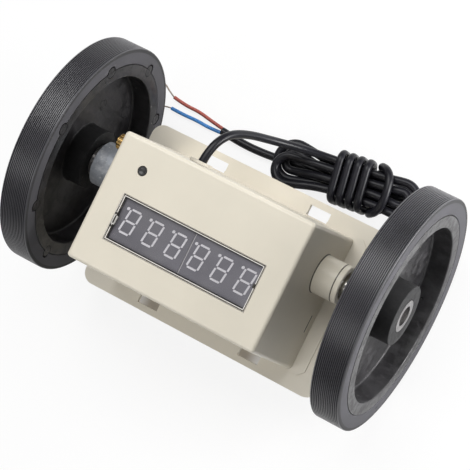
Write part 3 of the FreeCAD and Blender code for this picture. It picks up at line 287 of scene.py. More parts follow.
def beige_moulding():
    """Satin ABS: spark texture, faint clouding, a few dark specks, the dark joint line round the
    cap, and painted shade round the boss's foot and in the end face's slit.
    """
    finish = Finish("beige_moulding")
    clouds = finish.noise(45.0, 4.0)
    grain = finish.noise(2600.0, 2.0)
    dirt = finish.specks(95.0, 0.035, 0.10)
    tone = tuple(colours().case)
    base = finish.blend(finish.between(clouds, 0.3, 0.7), shade(tone, 0.97), shade(tone, 1.02))
    base = finish.blend(dirt * 0.7, base, (0.20, 0.17, 0.12))
    # Painted shade on the end face: a dark ring round the boss's foot and the inside of the slit.
    end_face = abs(finish.axis("X") - CASE_END) < 0.0004
    boss_foot_shade = abs(finish.reach(0.0, 0.0) - BOSS_LINE) < LINE_REACH
    slit_y = abs(finish.axis("Y") - SLIT_MIDDLE[0]) < SLIT_REACH[0]
    slit_z = abs(finish.axis("Z") - SLIT_MIDDLE[1]) < SLIT_REACH[1]
    base = finish.blend(end_face * (boss_foot_shade + slit_y * slit_z) * 0.9, base,
                        (0.035, 0.03, 0.024))
    cap_joint = abs(finish.axis("X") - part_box("bearing_cap")[0].x) < 0.0002
    base = finish.blend(cap_joint * 0.85, base, (0.06, 0.052, 0.04))
    return finish.surface(base, finish.between(grain, 0.2, 0.8) * 0.10 + 0.28,
                          finish.bump(grain, 0.000012))


def painted_sheet():
    """Paint on sheet steel with slight orange peel, greyer where it is rubbed."""
    finish = Finish("painted_sheet")
    peel = finish.noise(900.0, 2.0)
    rub = finish.between(finish.noise(60.0, 6.0, roughness=0.7), 0.55, 0.8)
    dirt = finish.specks(140.0, 0.05, 0.05)
    tone = tuple(colours().plate)
    base = finish.blend(rub * 0.5, tone, shade(tone, 0.90))
    base = finish.blend(dirt * 0.6, base, (0.18, 0.16, 0.13))
    return finish.surface(base, rub * 0.12 + 0.38, finish.bump(peel, 0.00002))


def black_moulding(name, rings, light, gloss):
    """Moulded black plastic: flow streaks, rubbed haze, dust and round tool marks, with the hub
    painted near black as shade and the lightness set per wheel as painted light and shade.
    """
    finish = Finish(name)
    flow = finish.noise(70.0, 6.0, stretch=(1.0, 1.0, 0.35), roughness=0.65)
    haze = finish.between(finish.noise(34.0, 6.0, roughness=0.7), 0.40, 0.66)
    fine = finish.noise(1500.0, 3.0)
    dust = finish.specks(330.0, 0.11, 0.035)
    smear = finish.specks(120.0, 0.06, 0.05)
    ring_mask = finish.marks(rings, 0.00022)
    # The lightness is painted light and shade: the same plastic is made darker on the shaded wheel
    # and lighter on the lit one.
    tone = shade(tuple(colours().moulding), light)
    patches = finish.between(finish.noise(230.0, 5.0, roughness=0.7), 0.46, 0.62)
    streaks = finish.between(finish.noise(90.0, 5.0, stretch=(1, 3.2, 0.8), roughness=0.7),
                             0.42, 0.66)
    base = finish.blend(haze * 0.4 + patches * 0.3 + streaks * 0.3,
                        shade(tone, 0.35), shade(tone, 3.2))
    base = finish.blend(dust * 0.55, base, (0.32, 0.30, 0.27))
    base = finish.blend(smear * 0.4, base, (0.22, 0.21, 0.19))
    base = finish.blend(ring_mask * 0.75, base, (0.006, 0.006, 0.006))
    # Painted shade: the hub is coloured near black for the shade it lies in.
    hub = finish.reach(0.0, 0.0) < sizes().hub_radius + 0.0003
    base = finish.blend(hub * 0.8, base, (0.004, 0.004, 0.0045))
    roughness = finish.between(flow, 0.3, 0.7) * 0.18 + patches * 0.22 + hub * 0.3 + 0.24
    normal = finish.bump(flow, 0.00016, finish.bump(fine, 0.000012))
    return finish.surface(base, roughness, finish.bump(1 - ring_mask, 0.0001, normal),
                          specular_ior_level=gloss)


def black_tread(name, nicks):
    """Rubber with a dry bloom and nicks on its side, with painted shade darkening its grooves."""
    finish = Finish(name)
    radius = finish.reach(0.0, 0.0)
    valley = 1 - finish.between(radius, sizes().wheel_radius - sizes().groove_depth,
                                sizes().wheel_radius - 0.00006)
    bloom = finish.between(finish.noise(55.0, 5.0), 0.35, 0.7)
    fine = finish.noise(2200.0, 3.0)
    dust = finish.specks(380.0, 0.10, 0.03)
    turning = finish.noise(1.0, 3.0, stretch=(600.0, 60.0, 60.0))
    tone = tuple(colours().tread)
    base = finish.blend(bloom, tone, shade(tone, 1.5))
    # Painted shade: the grooves' valleys are coloured far darker than the ridges.
    base = finish.blend(valley * (radius > sizes().joint_radius + 0.005) * 0.85, base,
                        shade(tone, 0.15))
    base = finish.blend(dust * 0.5, base, (0.30, 0.28, 0.26))
    for (y, z), reach in nicks:
        base = finish.blend(finish.reach(y, z) < reach, base, (0.003, 0.003, 0.003))
    return finish.surface(base, bloom * 0.08 + turning * 0.08 + valley * 0.55 + 0.26,
                          finish.bump(fine, 0.00001), specular_ior_level=0.8)


def black_sheath():
    """Soft PVC with a faint drag grain."""
    finish = Finish("black_sheath")
    drag = finish.noise(420.0, 4.0)
    haze = finish.between(finish.noise(80.0, 3.0), 0.4, 0.7)
    tone = tuple(colours().lead)
    base = finish.blend(haze, tone, shade(tone, 1.6))
    return finish.surface(base, drag * 0.12 + 0.27, finish.bump(drag, 0.00003),
                          specular_ior_level=0.26)


def core_skin(name, tone):
    """Coloured PVC round a core, with a few dull streaks."""
    finish = Finish(name)
    streak = finish.noise(600.0, 3.0)
    base = finish.blend(finish.between(streak, 0.35, 0.7), tone, shade(tone, 0.72))
    return finish.surface(base, streak * 0.12 + 0.32, finish.bump(streak, 0.00002))


def metal(name, tone, low, spread, scale=600.0, stretch=None, mottle=0.25, purity=1.0):
    """A metal that is clouded by the mottle, and roughened from low upwards by its grain."""
    finish = Finish(name)
    grain = finish.noise(scale, 4.0, stretch=stretch)
    clouds = finish.between(finish.noise(160.0, 4.0), 0.35, 0.65)
    base = finish.blend(clouds, shade(tone, 1 - mottle), tone)
    return finish.surface(base, grain * spread + low, finish.bump(grain, 0.000008),
                          metallic=purity)


def zinc_sleeve():
    """Dull blue-grey zinc with crystal patches and pale specks that are painted glints."""
    finish = Finish("zinc_sleeve_plating")
    patch = finish.cell_share(420.0)
    clouds = finish.noise(260.0, 5.0, roughness=0.7)
    painted_glints = finish.between(finish.noise(700.0, 5.0, roughness=0.75), 0.56, 0.68)
    tone = tuple(colours().zinc)
    base = finish.blend(patch * 0.5, shade(tone, 0.8), shade(tone, 1.25))
    base = finish.blend(finish.between(clouds, 0.45, 0.7) * 0.6, base, (0.72, 0.73, 0.75))
    # Painted highlight: pale specks stand in for glints on the plating.
    base = finish.blend(painted_glints * 0.7, base, (0.88, 0.88, 0.87))
    return finish.surface(base, clouds * 0.25 + 0.30, finish.bump(clouds, 0.00006), metallic=0.5)


def plain_plastic(name, tone, roughness, scale=300.0, spread=0.85, **fixed):
    """A moulded plastic with a light grain and clouding."""
    finish = Finish(name)
    clouds = finish.noise(scale, 4.0)
    base = finish.blend(finish.between(clouds, 0.35, 0.65), tone, shade(tone, spread))
    return finish.surface(base, clouds * 0.1 + roughness, finish.bump(clouds, 0.000015), **fixed)


def circuit_green():
    """Solder mask over tracks that run in two directions."""
    finish = Finish("circuit_green")

    def lines(axis, pitch, reach):
        return abs(finish.axis(axis) % pitch - pitch / 2) < reach

    tracks = lines("X", 0.0021, 0.00022)
    cross = lines("Y", 0.0034, 0.0002)
    lit = finish.between(finish.noise(140.0, 2.0), 0.45, 0.55)
    mask = tracks * lit + cross * (1 - lit)
    base = finish.blend(mask * 0.7, (0.012, 0.085, 0.035), (0.03, 0.17, 0.06))
    return finish.surface(base, 0.32 + mask * 0.1, finish.bump(mask, 0.00003))


def display_face():
    """The modules' dark faces, with painted light that makes them paler towards the right, and
    paler along the seam between them.
    """
    finish = Finish("display_face")
    haze = finish.between(finish.noise(60.0, 4.0), 0.35, 0.7)
    seam = abs(finish.axis("X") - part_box("display_module_right")[0].x) < 0.00030
    tone = tuple(colours().face)
    # Painted light: the face is made paler towards the right.
    lit = finish.between(finish.axis("X"), -0.020, 0.028)
    base = finish.blend(haze * 0.4 + lit * 0.6, tone, shade(tone, 1.75))
    base = finish.blend(seam * 0.8, base, (0.66, 0.64, 0.65))
    return finish.surface(base, haze * 0.1 + 0.38)


def clear_lens():
    """A thin smoked pane, nearly clear, with a faint film on it."""
    finish = Finish("clear_lens")
    film = finish.between(finish.noise(90.0, 4.0), 0.4, 0.75)
    base = finish.blend(film, (0.20, 0.19, 0.21), (0.34, 0.33, 0.34))
    return finish.surface(base, film * 0.08 + 0.06, alpha=film * 0.05 + 0.12)


def put(piece, material):
    """Give a piece one finish."""
    piece.data.materials.clear()
    piece.data.materials.append(material)
    return piece


# ---- Modelling helpers ----

COINCIDENT = 1e-7  # points closer than this are one point


def deselect():
    """Leave edit mode with nothing selected."""
    if bpy.context.mode != "OBJECT":
        bpy.ops.object.mode_set(mode="OBJECT")
    bpy.ops.object.select_all(action="DESELECT")


def pick(*pieces):
    """Select these pieces and no others, with the first one active."""
    deselect()
    for piece in pieces:
        piece.select_set(True)
    bpy.context.view_layer.objects.active = pieces[0]


def freshly_added(name):
    """The primitive that was just added, with its place moved into its mesh."""
    piece = bpy.context.active_object
    piece.name = name
    piece.data.name = name
    bpy.ops.object.transform_apply(location=True, rotation=True, scale=True)
    return piece


def turned(name, rings, count):
    """Turn an outline of (x, radius) points round the shaft, as a ring that is extruded on."""
    deselect()
    x, radius = rings[0]
    bpy.ops.mesh.primitive_circle_add(vertices=count, radius=radius, location=(x, 0, 0),
                                      rotation=(0, math.pi / 2, 0))
    piece = freshly_added(name)
    bpy.ops.object.mode_set(mode="EDIT")
    bpy.ops.mesh.select_all(action="SELECT")
    for next_x, next_radius in rings[1:]:
        bpy.ops.mesh.extrude_edges_move(TRANSFORM_OT_translate={"value": (next_x - x, 0, 0)})
        share = next_radius / radius
        if abs(share - 1) > COINCIDENT:
            bpy.ops.transform.resize(value=(1, share, share), center_override=(next_x, 0, 0))
        x, radius = next_x, next_radius
    bpy.ops.mesh.select_all(action="SELECT")
    bpy.ops.mesh.remove_doubles(threshold=COINCIDENT)
    bpy.ops.mesh.normals_make_consistent(inside=False)
    bpy.ops.object.mode_set(mode="OBJECT")
    return piece


def arc(x, radius, reach, start, end, steps=5):
    """Points of a fillet in the (x, radius) outline, by its centre and angles in degrees."""
    points = []
    for number in range(steps + 1):
        angle = math.radians(start + (end - start) * number / steps)
        points.append((x + reach * math.cos(angle), radius + reach * math.sin(angle)))
    return points


def modify(piece, kind, **settings):
    """Add a modifier and apply it."""
    pick(piece)
    modifier = piece.modifiers.new(kind.title(), kind)
    for key, setting in settings.items():
        setattr(modifier, key, setting)
    bpy.ops.object.modifier_apply(modifier=modifier.name)


def select_where(piece, wanted):
    """Select the vertices whose places pass a test, and go on in edit mode."""
    bpy.ops.object.mode_set(mode="EDIT")
    bpy.ops.mesh.select_all(action="DESELECT")
    bpy.ops.object.mode_set(mode="OBJECT")
    for vertex in piece.data.vertices:
        vertex.select = wanted(vertex.co)
    bpy.ops.object.mode_set(mode="EDIT")


def smooth(piece, degrees=35.0):
    """Shade smooth, apart from edges that are sharper than an angle."""
    pick(piece)
    bpy.ops.object.shade_smooth_by_angle(angle=math.radians(degrees))
    return piece


def join(name, pieces):
    """Make several objects one piece."""
    pick(*pieces)
    if len(pieces) > 1:
        bpy.ops.object.join()
    pieces[0].name = name
    pieces[0].data.name = name
    return pieces[0]


def copy_at(piece, name, matrix):
    """A copy with its own mesh, moved within it."""
    twin = piece.copy()
    twin.data = piece.data.copy()
    twin.data.transform(matrix)
    twin.name = name
    bpy.context.scene.collection.objects.link(twin)
    return twin


def slab(name, low, high, bevel=0.0001, segments=2):
    """A block between two corners with softened edges."""
    deselect()
    middle = [(a + b) / 2 for a, b in zip(low, high)]
    bpy.ops.mesh.primitive_cube_add(size=1.0, location=middle,
                                    scale=[b - a for a, b in zip(low, high)])
    piece = freshly_added(name)
    modify(piece, "BEVEL", width=bevel, segments=segments, limit_method="ANGLE")
    return smooth(piece)


# ---- Lead ----

# The route is in millimetres. The hank has axes of its own: u along it and v across it.
STEP = 3.9                              # from one lane of the hank to the next
FLOOR = -47.75
WRAP_LOW = FLOOR + 2.0                  # where the lead lies under the hank
LAYERS = (WRAP_LOW + STEP, WRAP_LOW + STEP * 2)
WRAP_TOP = WRAP_LOW + STEP * 3
INNER, OUTER = STEP / 2, STEP * 1.5     # the top layer's lanes, from the middle line
HANK_MIDDLE = (17.4, 36.2)
HANK_TURN = math.radians(6.0)
RIGHT_END, LEFT_END = 26.5, 21.9        # how far along the half turns have their middles
RIGHT_WAIST, LEFT_WAIST = 17.0, -5.0    # where the lanes run up to them
RIGHT_SPREAD = 0.9                      # by how much the right ones bulge out
LEFT_SPANS = ((9.56, 1.6), (3.75, 3.85), (7.3, 7.4))  # near and far reach of the left ones
WRAP_START, WRAP_PITCH, WRAP_COUNT = 12.2, 3.9, 4
WRAP_REACH = 3.5                        # radius of a wrap's line at the hank's four edges
WRAP_LEAN = 0.03                        # share of the pitch from one corner to the next
CORNER = 30                             # degrees from one corner of a guiding polygon to the next

LEAD_OUT = [
    (-21.9, 11.6211, 5.0), (-21.9, 21.8, 5.0), (-19.3, 31.2, 1.0), (-15.8, 35.2, -9.5),
    (-9.0, 37.6, -23.0), (0.0, 39.9, WRAP_TOP + 1.8),
]
UNDER_HANK = [  # from the last lane past the right end and back under it, after WRAP_START
    (3.0, STEP, LAYERS[0]), (5.5, STEP, LAYERS[0]), (9.5, STEP + 0.6, WRAP_LOW),
    (13.0, OUTER - 0.6, WRAP_LOW), (15.2, OUTER - 2.8, WRAP_LOW), (15.0, OUTER - 6.0, WRAP_LOW),
    (10.5, -OUTER + 2.0, WRAP_LOW), (5.6, -OUTER - 0.6, WRAP_LOW),
]
HANK_EXIT = [  # after the last wrap, under the gap between the lanes
    (-0.3, 3.4, WRAP_LOW), (-1.8, 0.8, WRAP_LOW), (-5.0, -0.9, WRAP_LOW), (-9.0, -1.3, WRAP_LOW),
]
TAIL = [(-3.0, 33.2, WRAP_LOW), (-18.0, 31.5, WRAP_LOW), (-30.0, 31.2, WRAP_LOW),
        (-39.8, 32.3, WRAP_LOW)]
CORE_HEIGHT = FLOOR + 1.05
WIRE_RADIUS = 0.11 * MM
CORES = {
    "red": [(-39.9, 33.15), (-46.0, 34.0), (-53.0, 35.3), (-60.0, 35.2), (-66.0, 36.2)],
    "blue": [(-40.05, 31.45), (-46.0, 31.1), (-52.5, 31.6), (-59.0, 31.3), (-65.0, 31.6)],
}
STRANDS = {
    "red": [(-66.1, 36.2), (-69.2, 37.6), (-72.2, 39.6), (-74.6, 40.0)],
    "blue": [(-65.1, 31.6), (-69.0, 31.2), (-73.2, 28.6), (-77.6, 23.8)],
}


def hank_point(along, across, height):
    """Turn a point of the hank from its own axes into the frame."""
    cosine, sine = math.cos(HANK_TURN), math.sin(HANK_TURN)
    return (HANK_MIDDLE[0] + along * cosine - across * sine,
            HANK_MIDDLE[1] + along * sine + across * cosine, height)


def arc_corners(reach, start, sweep):
    """Corners of a polygon round an arc, clockwise. The smooth line touches its sides' middles."""
    out = reach / math.cos(math.radians(CORNER / 2))
    corners = []
    for number in range(sweep // CORNER + 2):
        angle = math.radians(start + CORNER / 2 - CORNER * number)
        corners.append((out * math.cos(angle), out * math.sin(angle)))
    return corners


def half_turn(middle_u, middle_v, reach, height, start):
    """Guiding points of a level half turn, from the angle at which it starts."""
    return [(middle_u + u, middle_v + v, height) for u, v in arc_corners(reach, start, 180)]


def hank_loops():
    """The loops of the hank: the top layer from outside to inside, then the bottom layer."""
    low, high = LAYERS

    def right(far, near, height):
        """Along a far lane, round the right end and into a near lane."""
        turn = half_turn(RIGHT_END, (far - near) / 2, (far + near) / 2 + RIGHT_SPREAD, height, 90)
        return [(RIGHT_WAIST, far, height), *turn, (RIGHT_WAIST, -near, height)]

    def left(near, far, above, height, span):
        """Along a near lane, which may lie a layer above, and round the left end to a far lane."""
        reach = (span[0] + span[1]) / 2
        turn = half_turn(-LEFT_END, (span[1] - span[0]) / 2, reach, height, -90)
        return [(LEFT_WAIST, -near, above), *turn, (LEFT_WAIST, far, height)]

    return [
        (LEFT_WAIST - 2.0, OUTER, high), (LEFT_WAIST + 6.0, OUTER, high),
        *right(OUTER, OUTER, high), *left(OUTER, INNER, high, high, LEFT_SPANS[0]),
        *right(INNER, INNER, high), *left(INNER, 0.0, high, low, LEFT_SPANS[1]),
        *right(0.0, STEP, low), *left(STEP, STEP, low, low, LEFT_SPANS[2]),
    ]


def boxy(share):
    """A sine or cosine drawn outwards, for a turn that follows the hank's square section."""
    return math.copysign(abs(share) ** 0.7, share)


def loose_turn(start, end, bow, count=14):
    """The first turn round the hank: it bows out to the right where it crosses the top."""
    middle = (LAYERS[0] + LAYERS[1]) / 2
    points = []
    for number in range(count):
        angle = math.radians(50 + 285 * number / (count - 1))
        sine, cosine = math.sin(angle), -math.cos(angle)
        rise = (WRAP_TOP + 0.7 if cosine > 0 else WRAP_LOW) - middle
        along = start + (end - start) * number / (count - 1) + bow * max(cosine, 0.0) ** 0.9
        points.append((along, -(OUTER + STEP) * boxy(sine), middle + abs(rise) * boxy(cosine)))
    return points


def wrap_turn(start):
    """One turn round the hank: under it, up the near side, over it and down the far side."""
    points = []
    for middle_v, middle_z, angle, fall in ((-OUTER, LAYERS[0], -90, 0.0),
                                            (-OUTER, LAYERS[1], 180, 0.2),
                                            (OUTER, LAYERS[1], 90, 0.52),
                                            (OUTER, LAYERS[0], 0, 0.7)):
        for number, (v, z) in enumerate(arc_corners(WRAP_REACH, angle, 90)):
            points.append((start - WRAP_PITCH * (fall + WRAP_LEAN * (number - 2)),
                           middle_v + v, middle_z + z))
    return points


def hank_wraps():
    """One loose turn at the right, then tight ones that work to the left."""
    points = [(WRAP_START + u, v, z) for u, v, z in UNDER_HANK]
    points += loose_turn(WRAP_START + 3.4, WRAP_START + 1.4, 6.7)
    for number in range(WRAP_COUNT):
        points += wrap_turn(WRAP_START - WRAP_PITCH * number)
    last = WRAP_START - WRAP_PITCH * WRAP_COUNT
    return points + [(last + u, v, z) for u, v, z in HANK_EXIT]


def lead_points():
    """The whole route of the lead, from the grommet to the end of its sheath."""
    hank = [hank_point(*point) for point in hank_loops() + hank_wraps()]
    return LEAD_OUT + hank + TAIL


def cable(name, routes, radius, resolution=6, ring=5):
    """A round cord along smooth routes in millimetres, one spline for each."""
    line = bpy.data.curves.new(name, "CURVE")
    line.dimensions = "3D"
    for points in routes:
        spline = line.splines.new("NURBS")
        spline.points.add(len(points) - 1)
        for knot, point in zip(spline.points, points):
            knot.co = (*(c * MM for c in point), 1.0)
        spline.order_u = 3
        spline.use_endpoint_u = True
        spline.resolution_u = resolution
        spline.use_smooth = True
    line.bevel_depth = radius
    line.bevel_resolution = ring
    line.use_fill_caps = True
    piece = bpy.data.objects.new(name, line)
    bpy.context.scene.collection.objects.link(piece)
    return piece


def followed(points):
    """Points along the smooth line of a route, in millimetres."""
    guide = cable("guide", [points], 0.0, resolution=10)
    mesh = bpy.data.meshes.new_from_object(guide)
    spots = [vertex.co / MM for vertex in mesh.vertices]
    bpy.data.objects.remove(guide)
    bpy.data.meshes.remove(mesh)
    return spots


def twisted(points, count=5, lay=3.2, reach=0.22):
    """Routes of fine wires that twist round a line and fray a little towards its end."""
    spots = followed(points)
    routes = []
    for wire in range(count):
        route, travelled = [], 0.0
        for number, spot in enumerate(spots):
            after = spots[min(number + 1, len(spots) - 1)]
            before = spots[max(number - 1, 0)]
            along = (after - before).normalized()
            side = along.cross(Vector((0, 0, 1))).normalized()
            up = side.cross(along)
            if number:
                travelled += (spot - spots[number - 1]).length
            angle = 2 * math.pi * (wire / count + travelled / lay)
            fray = reach * (1 + 0.9 * (number / len(spots)) ** 3)
            route.append(spot + side * (fray * math.cos(angle)) + up * (fray * math.sin(angle)))
        routes.append(route)
    return routes


class COUNTER_OT_lead(bpy.types.Operator):
    """Lay the black lead from the case through its tied hank to its stripped end"""
    bl_idname = "counter.lead"
    bl_label = "Lead"

    def execute(self, context):
        pieces = []
        for word in ("red", "blue"):
            route, bare_route = ([(x, y, CORE_HEIGHT) for x, y in points[word]]
                                 for points in (CORES, STRANDS))
            core = cable(f"{word}_core_insulation", [route], sizes().core_radius)
            put(core, core_skin(f"{word}_skin", tuple(getattr(colours(), word))))
            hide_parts(f"{word}_core")
            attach(core, "housing")
            tip = cable(f"{word}_core_wires", twisted(bare_route), WIRE_RADIUS, 2, 2)
            put(tip, metal(f"{word}_wires", (0.50, 0.42, 0.36), 0.30, 0.2))
            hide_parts(f"{word}_strands")
            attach(tip, "housing")
            pieces += [core, tip]
        lead = cable("black_lead", [lead_points()], sizes().cord_radius, resolution=8, ring=6)
        put(lead, black_sheath())
        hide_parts("cord_lead", "cord_hank", "cord_tail")
        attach(lead, "housing")
        [c * MM for c in LEAD_OUT[0]]
        return {"FINISHED"}


# ---- Wheels ----

LUG_COUNT = 8
LUG_TURN = math.radians(81.5)       # where the first lug lies, from +Y
GROOVE_LIP = 0.00005                # how far a groove's rounded lips drop
BORE = 0.00648                      # radius of the hole for the hub's bush
NICKS = {  # in the tyres' sides: the middle and the radius of each
    "left": (),
    "right": ((on_wheel(0.0467, 33.4), 0.0004), (on_wheel(0.0440, -147.8), 0.0005),
              (on_wheel(0.0440, -146.8), 0.0005)),
}
TOOL_RINGS = {  # pressed in the mouldings by their tools: the middle and the radius of each
    "left": ((on_wheel(0.0205, 0), 0.0021), (on_wheel(0.0307, -45), 0.0024),
             (on_wheel(0.0250, 62), 0.0021), (on_wheel(0.0290, 84), 0.0023),
             (on_wheel(0.0386, 40), 0.0013)),
    "right": ((on_wheel(0.0262, 18), 0.0011), (on_wheel(0.0262, 198), 0.0011),
              (on_wheel(0.0388, 60), 0.0008)),
}
MOULDING_PAINTED_LIGHT_AND_GLOSS = {"left": (0.42, 0.28), "right": (0.55, 0.50)}  # painted light and shade, the shaded left wheel darker and the lit right one lighter, then gloss


def lug_rods(radius, length, x, count=28):
    """Eight rods along X on the joint between tyre and moulding, as one object."""
    rods = []
    for number in range(LUG_COUNT):
        angle = LUG_TURN + 2 * math.pi * number / LUG_COUNT
        place = (x, sizes().joint_radius * math.cos(angle), sizes().joint_radius * math.sin(angle))
        deselect()
        bpy.ops.mesh.primitive_cylinder_add(vertices=count, radius=radius, depth=length,
                                            location=place, rotation=(0, math.pi / 2, 0))
        rods.append(freshly_added(f"lug_{number}"))
    return join("lugs", rods)


def cut_away(piece, tool):
    """Cut a tool's shape out of a piece, and remove the tool."""
    modify(piece, "BOOLEAN", operation="DIFFERENCE", object=tool, solver="EXACT")
    bpy.data.objects.remove(tool)


class COUNTER_OT_tyres(bpy.types.Operator):
    """Turn the rubber rings, press the grooves into their treads and notch them for the lugs"""
    bl_idname = "counter.tyres"
    bl_label = "Tyres"

    def execute(self, context):
        for word, side in WHEELS:
            middle = wheel_middle(word)
            tyre = self.model(f"{word}_grooved_tyre", middle)
            face = middle - side * sizes().wheel_width / 2
            cut_away(tyre, lug_rods(sizes().lug_radius + 0.0001, 2 * sizes().lug_depth, face))
            smooth(tyre, 28.0)
            put(tyre, black_tread(f"{word}_black_tread", NICKS[word]))
            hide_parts(f"{word}_tyre")
            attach(tyre, "wheels")
        return {"FINISHED"}

    def model(self, name, middle):
        """A ring with rounded edges outside, broken ones at the joint, and a grooved top."""
        half = sizes().wheel_width / 2
        low, high = middle - half, middle + half
        top, joint = sizes().wheel_radius, sizes().joint_radius + 0.00008
        edge, broken = 0.0006, 0.00025
        fillet = edge - 0.00002
        pitch, depth, count = sizes().groove_pitch, sizes().groove_depth, sizes().grooves
        profile = ((-0.31, 0), (-0.26, GROOVE_LIP), (-0.16, depth),
                   (0.16, depth), (0.26, GROOVE_LIP), (0.31, 0))
        rings = [(low, joint + broken), (low, top - edge),
                 *arc(low + edge, top - edge, fillet, 170, 100, 3)]
        for number in range(count):
            groove = middle + pitch * (number - (count - 1) / 2)
            rings += [(groove + pitch * share, top - fall) for share, fall in profile]
        rings += [*arc(high - edge, top - edge, fillet, 80, 10, 3), (high, top - edge),
                  (high, joint + broken), (high - broken, joint), (low + broken, joint),
                  (low, joint + broken)]
        return turned(name, rings, 240)


class COUNTER_OT_wheel_mouldings(bpy.types.Operator):
    """Turn the dished wheel mouldings with their filleted webs, hubs and keying lugs"""
    bl_idname = "counter.wheel_mouldings"
    bl_label = "Wheel mouldings"

    def execute(self, context):
        joint = (on_wheel(0.0, 0), sizes().joint_radius)
        for word, side in WHEELS:
            middle = wheel_middle(word)
            wheel = self.model(f"{word}_wheel_moulding", middle)
            face = middle - side * sizes().wheel_width / 2
            outline = lug_rods(sizes().lug_radius, 0.0009, face)  # a fine line round each lug
            core = lug_rods(sizes().lug_radius - 0.00022, 0.003, face)
            cut_away(outline, core)
            cut_away(wheel, outline)
            smooth(wheel, 40.0)
            reach = sizes().lug_depth
            lugs = smooth(lug_rods(sizes().lug_radius - 0.00055, reach,
                                   face + side * (reach / 2 + 0.00006)))
            wheel = join(wheel.name, [wheel, lugs])
            put(wheel, black_moulding(f"{word}_black_moulding", (joint, *TOOL_RINGS[word]),
                                      *MOULDING_PAINTED_LIGHT_AND_GLOSS[word]))
            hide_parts(f"{word}_wheel_core")
            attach(wheel, "wheels")
        return {"FINISHED"}

    def model(self, name, middle):
        """A rim, a web that is dished from the high side and a hub, with fillets between them."""
        half = sizes().wheel_width / 2
        low, high = middle - half, middle + half
        rim, dish, hub = sizes().joint_radius, sizes().dish_radius, sizes().hub_radius
        web = high - sizes().dish_depth
        back = web - sizes().web_thickness
        face = high - 0.0002
        edge, rim_edge, dish_edge = 0.0003, 0.00025, 0.0005
        back_foot, dish_foot, hub_foot = 0.0006, 0.0009, 0.0007
        rings = [
            (low, BORE + edge), (low, hub - edge), *arc(low + edge, hub - edge, edge, 180, 90, 3),
            (back - back_foot, hub),
            *arc(back - back_foot, hub + back_foot, back_foot, 270, 360, 3),
            (back, dish - back_foot),
            *arc(back - back_foot, dish - back_foot, back_foot, 0, 90, 3),
            (low + edge, dish), *arc(low + edge, dish + edge, edge, 270, 180, 3),
            (low, rim - rim_edge), (low + rim_edge, rim), (high - rim_edge, rim),
            (high, rim - rim_edge), (high, dish + dish_edge),
            *arc(high - dish_edge, dish + dish_edge, dish_edge, 0, -90, 4),
            *arc(web + dish_foot, dish - dish_foot, dish_foot, 90, 180, 5),
            (web - 0.0001, (dish + hub) / 2), (web, hub + hub_foot),
            *arc(web + hub_foot, hub + hub_foot, hub_foot, 180, 270, 4),
            (face - edge, hub), *arc(face - edge, hub - edge, edge, 90, 0, 3),
            (face, BORE + edge), (face - edge, BORE), (low + edge, BORE), (low, BORE + edge),
        ]
        return turned(name, rings, 160)


# ---- Display and window ----

DIGIT_COUNT = 6
FIRST_DIGIT = (-0.0272, -0.0141)            # its middle, as (x, y)
BAR_THICKNESS, BAR_HEIGHT = 0.00012, 0.00007
POINT_PLACE, POINT_RADIUS = (-0.0036, 0.0044), 0.00062
DIGIT_SLANT = 0.13
RIM_STEPS = (  # the window's insets from outside, each with its width and its rise
    (0.00006, 0.0), (0.00008, -0.0007), (0.00034, 0.0),
    (0.00005, 0.0004), (0.00028, 0.0), (0.00006, -0.0006),
)
TONGUE = (  # the lens's split latch: its parts' ends from the window's left edge, and along Y
    (0.00025, 0.0006, -0.0176, -0.0138), (0.00125, 0.0016, -0.0174, -0.0140),
    (0.0006, 0.00125, -0.0176, -0.0171),
)
LEFT_GAPS = (  # dark blocks painted in as the shade of the gaps round the latch, given in the same way
    (0.0001, 0.00125, -0.0186, -0.0179), (0.0001, 0.00125, -0.0135, -0.0128),
    (0.0006, 0.0012, -0.0170, -0.0140),
)
RIGHT_GAPS = ((-0.0013, -0.0005, -0.0146, -0.0130),)  # the dark block for the gap at the right edge, from there


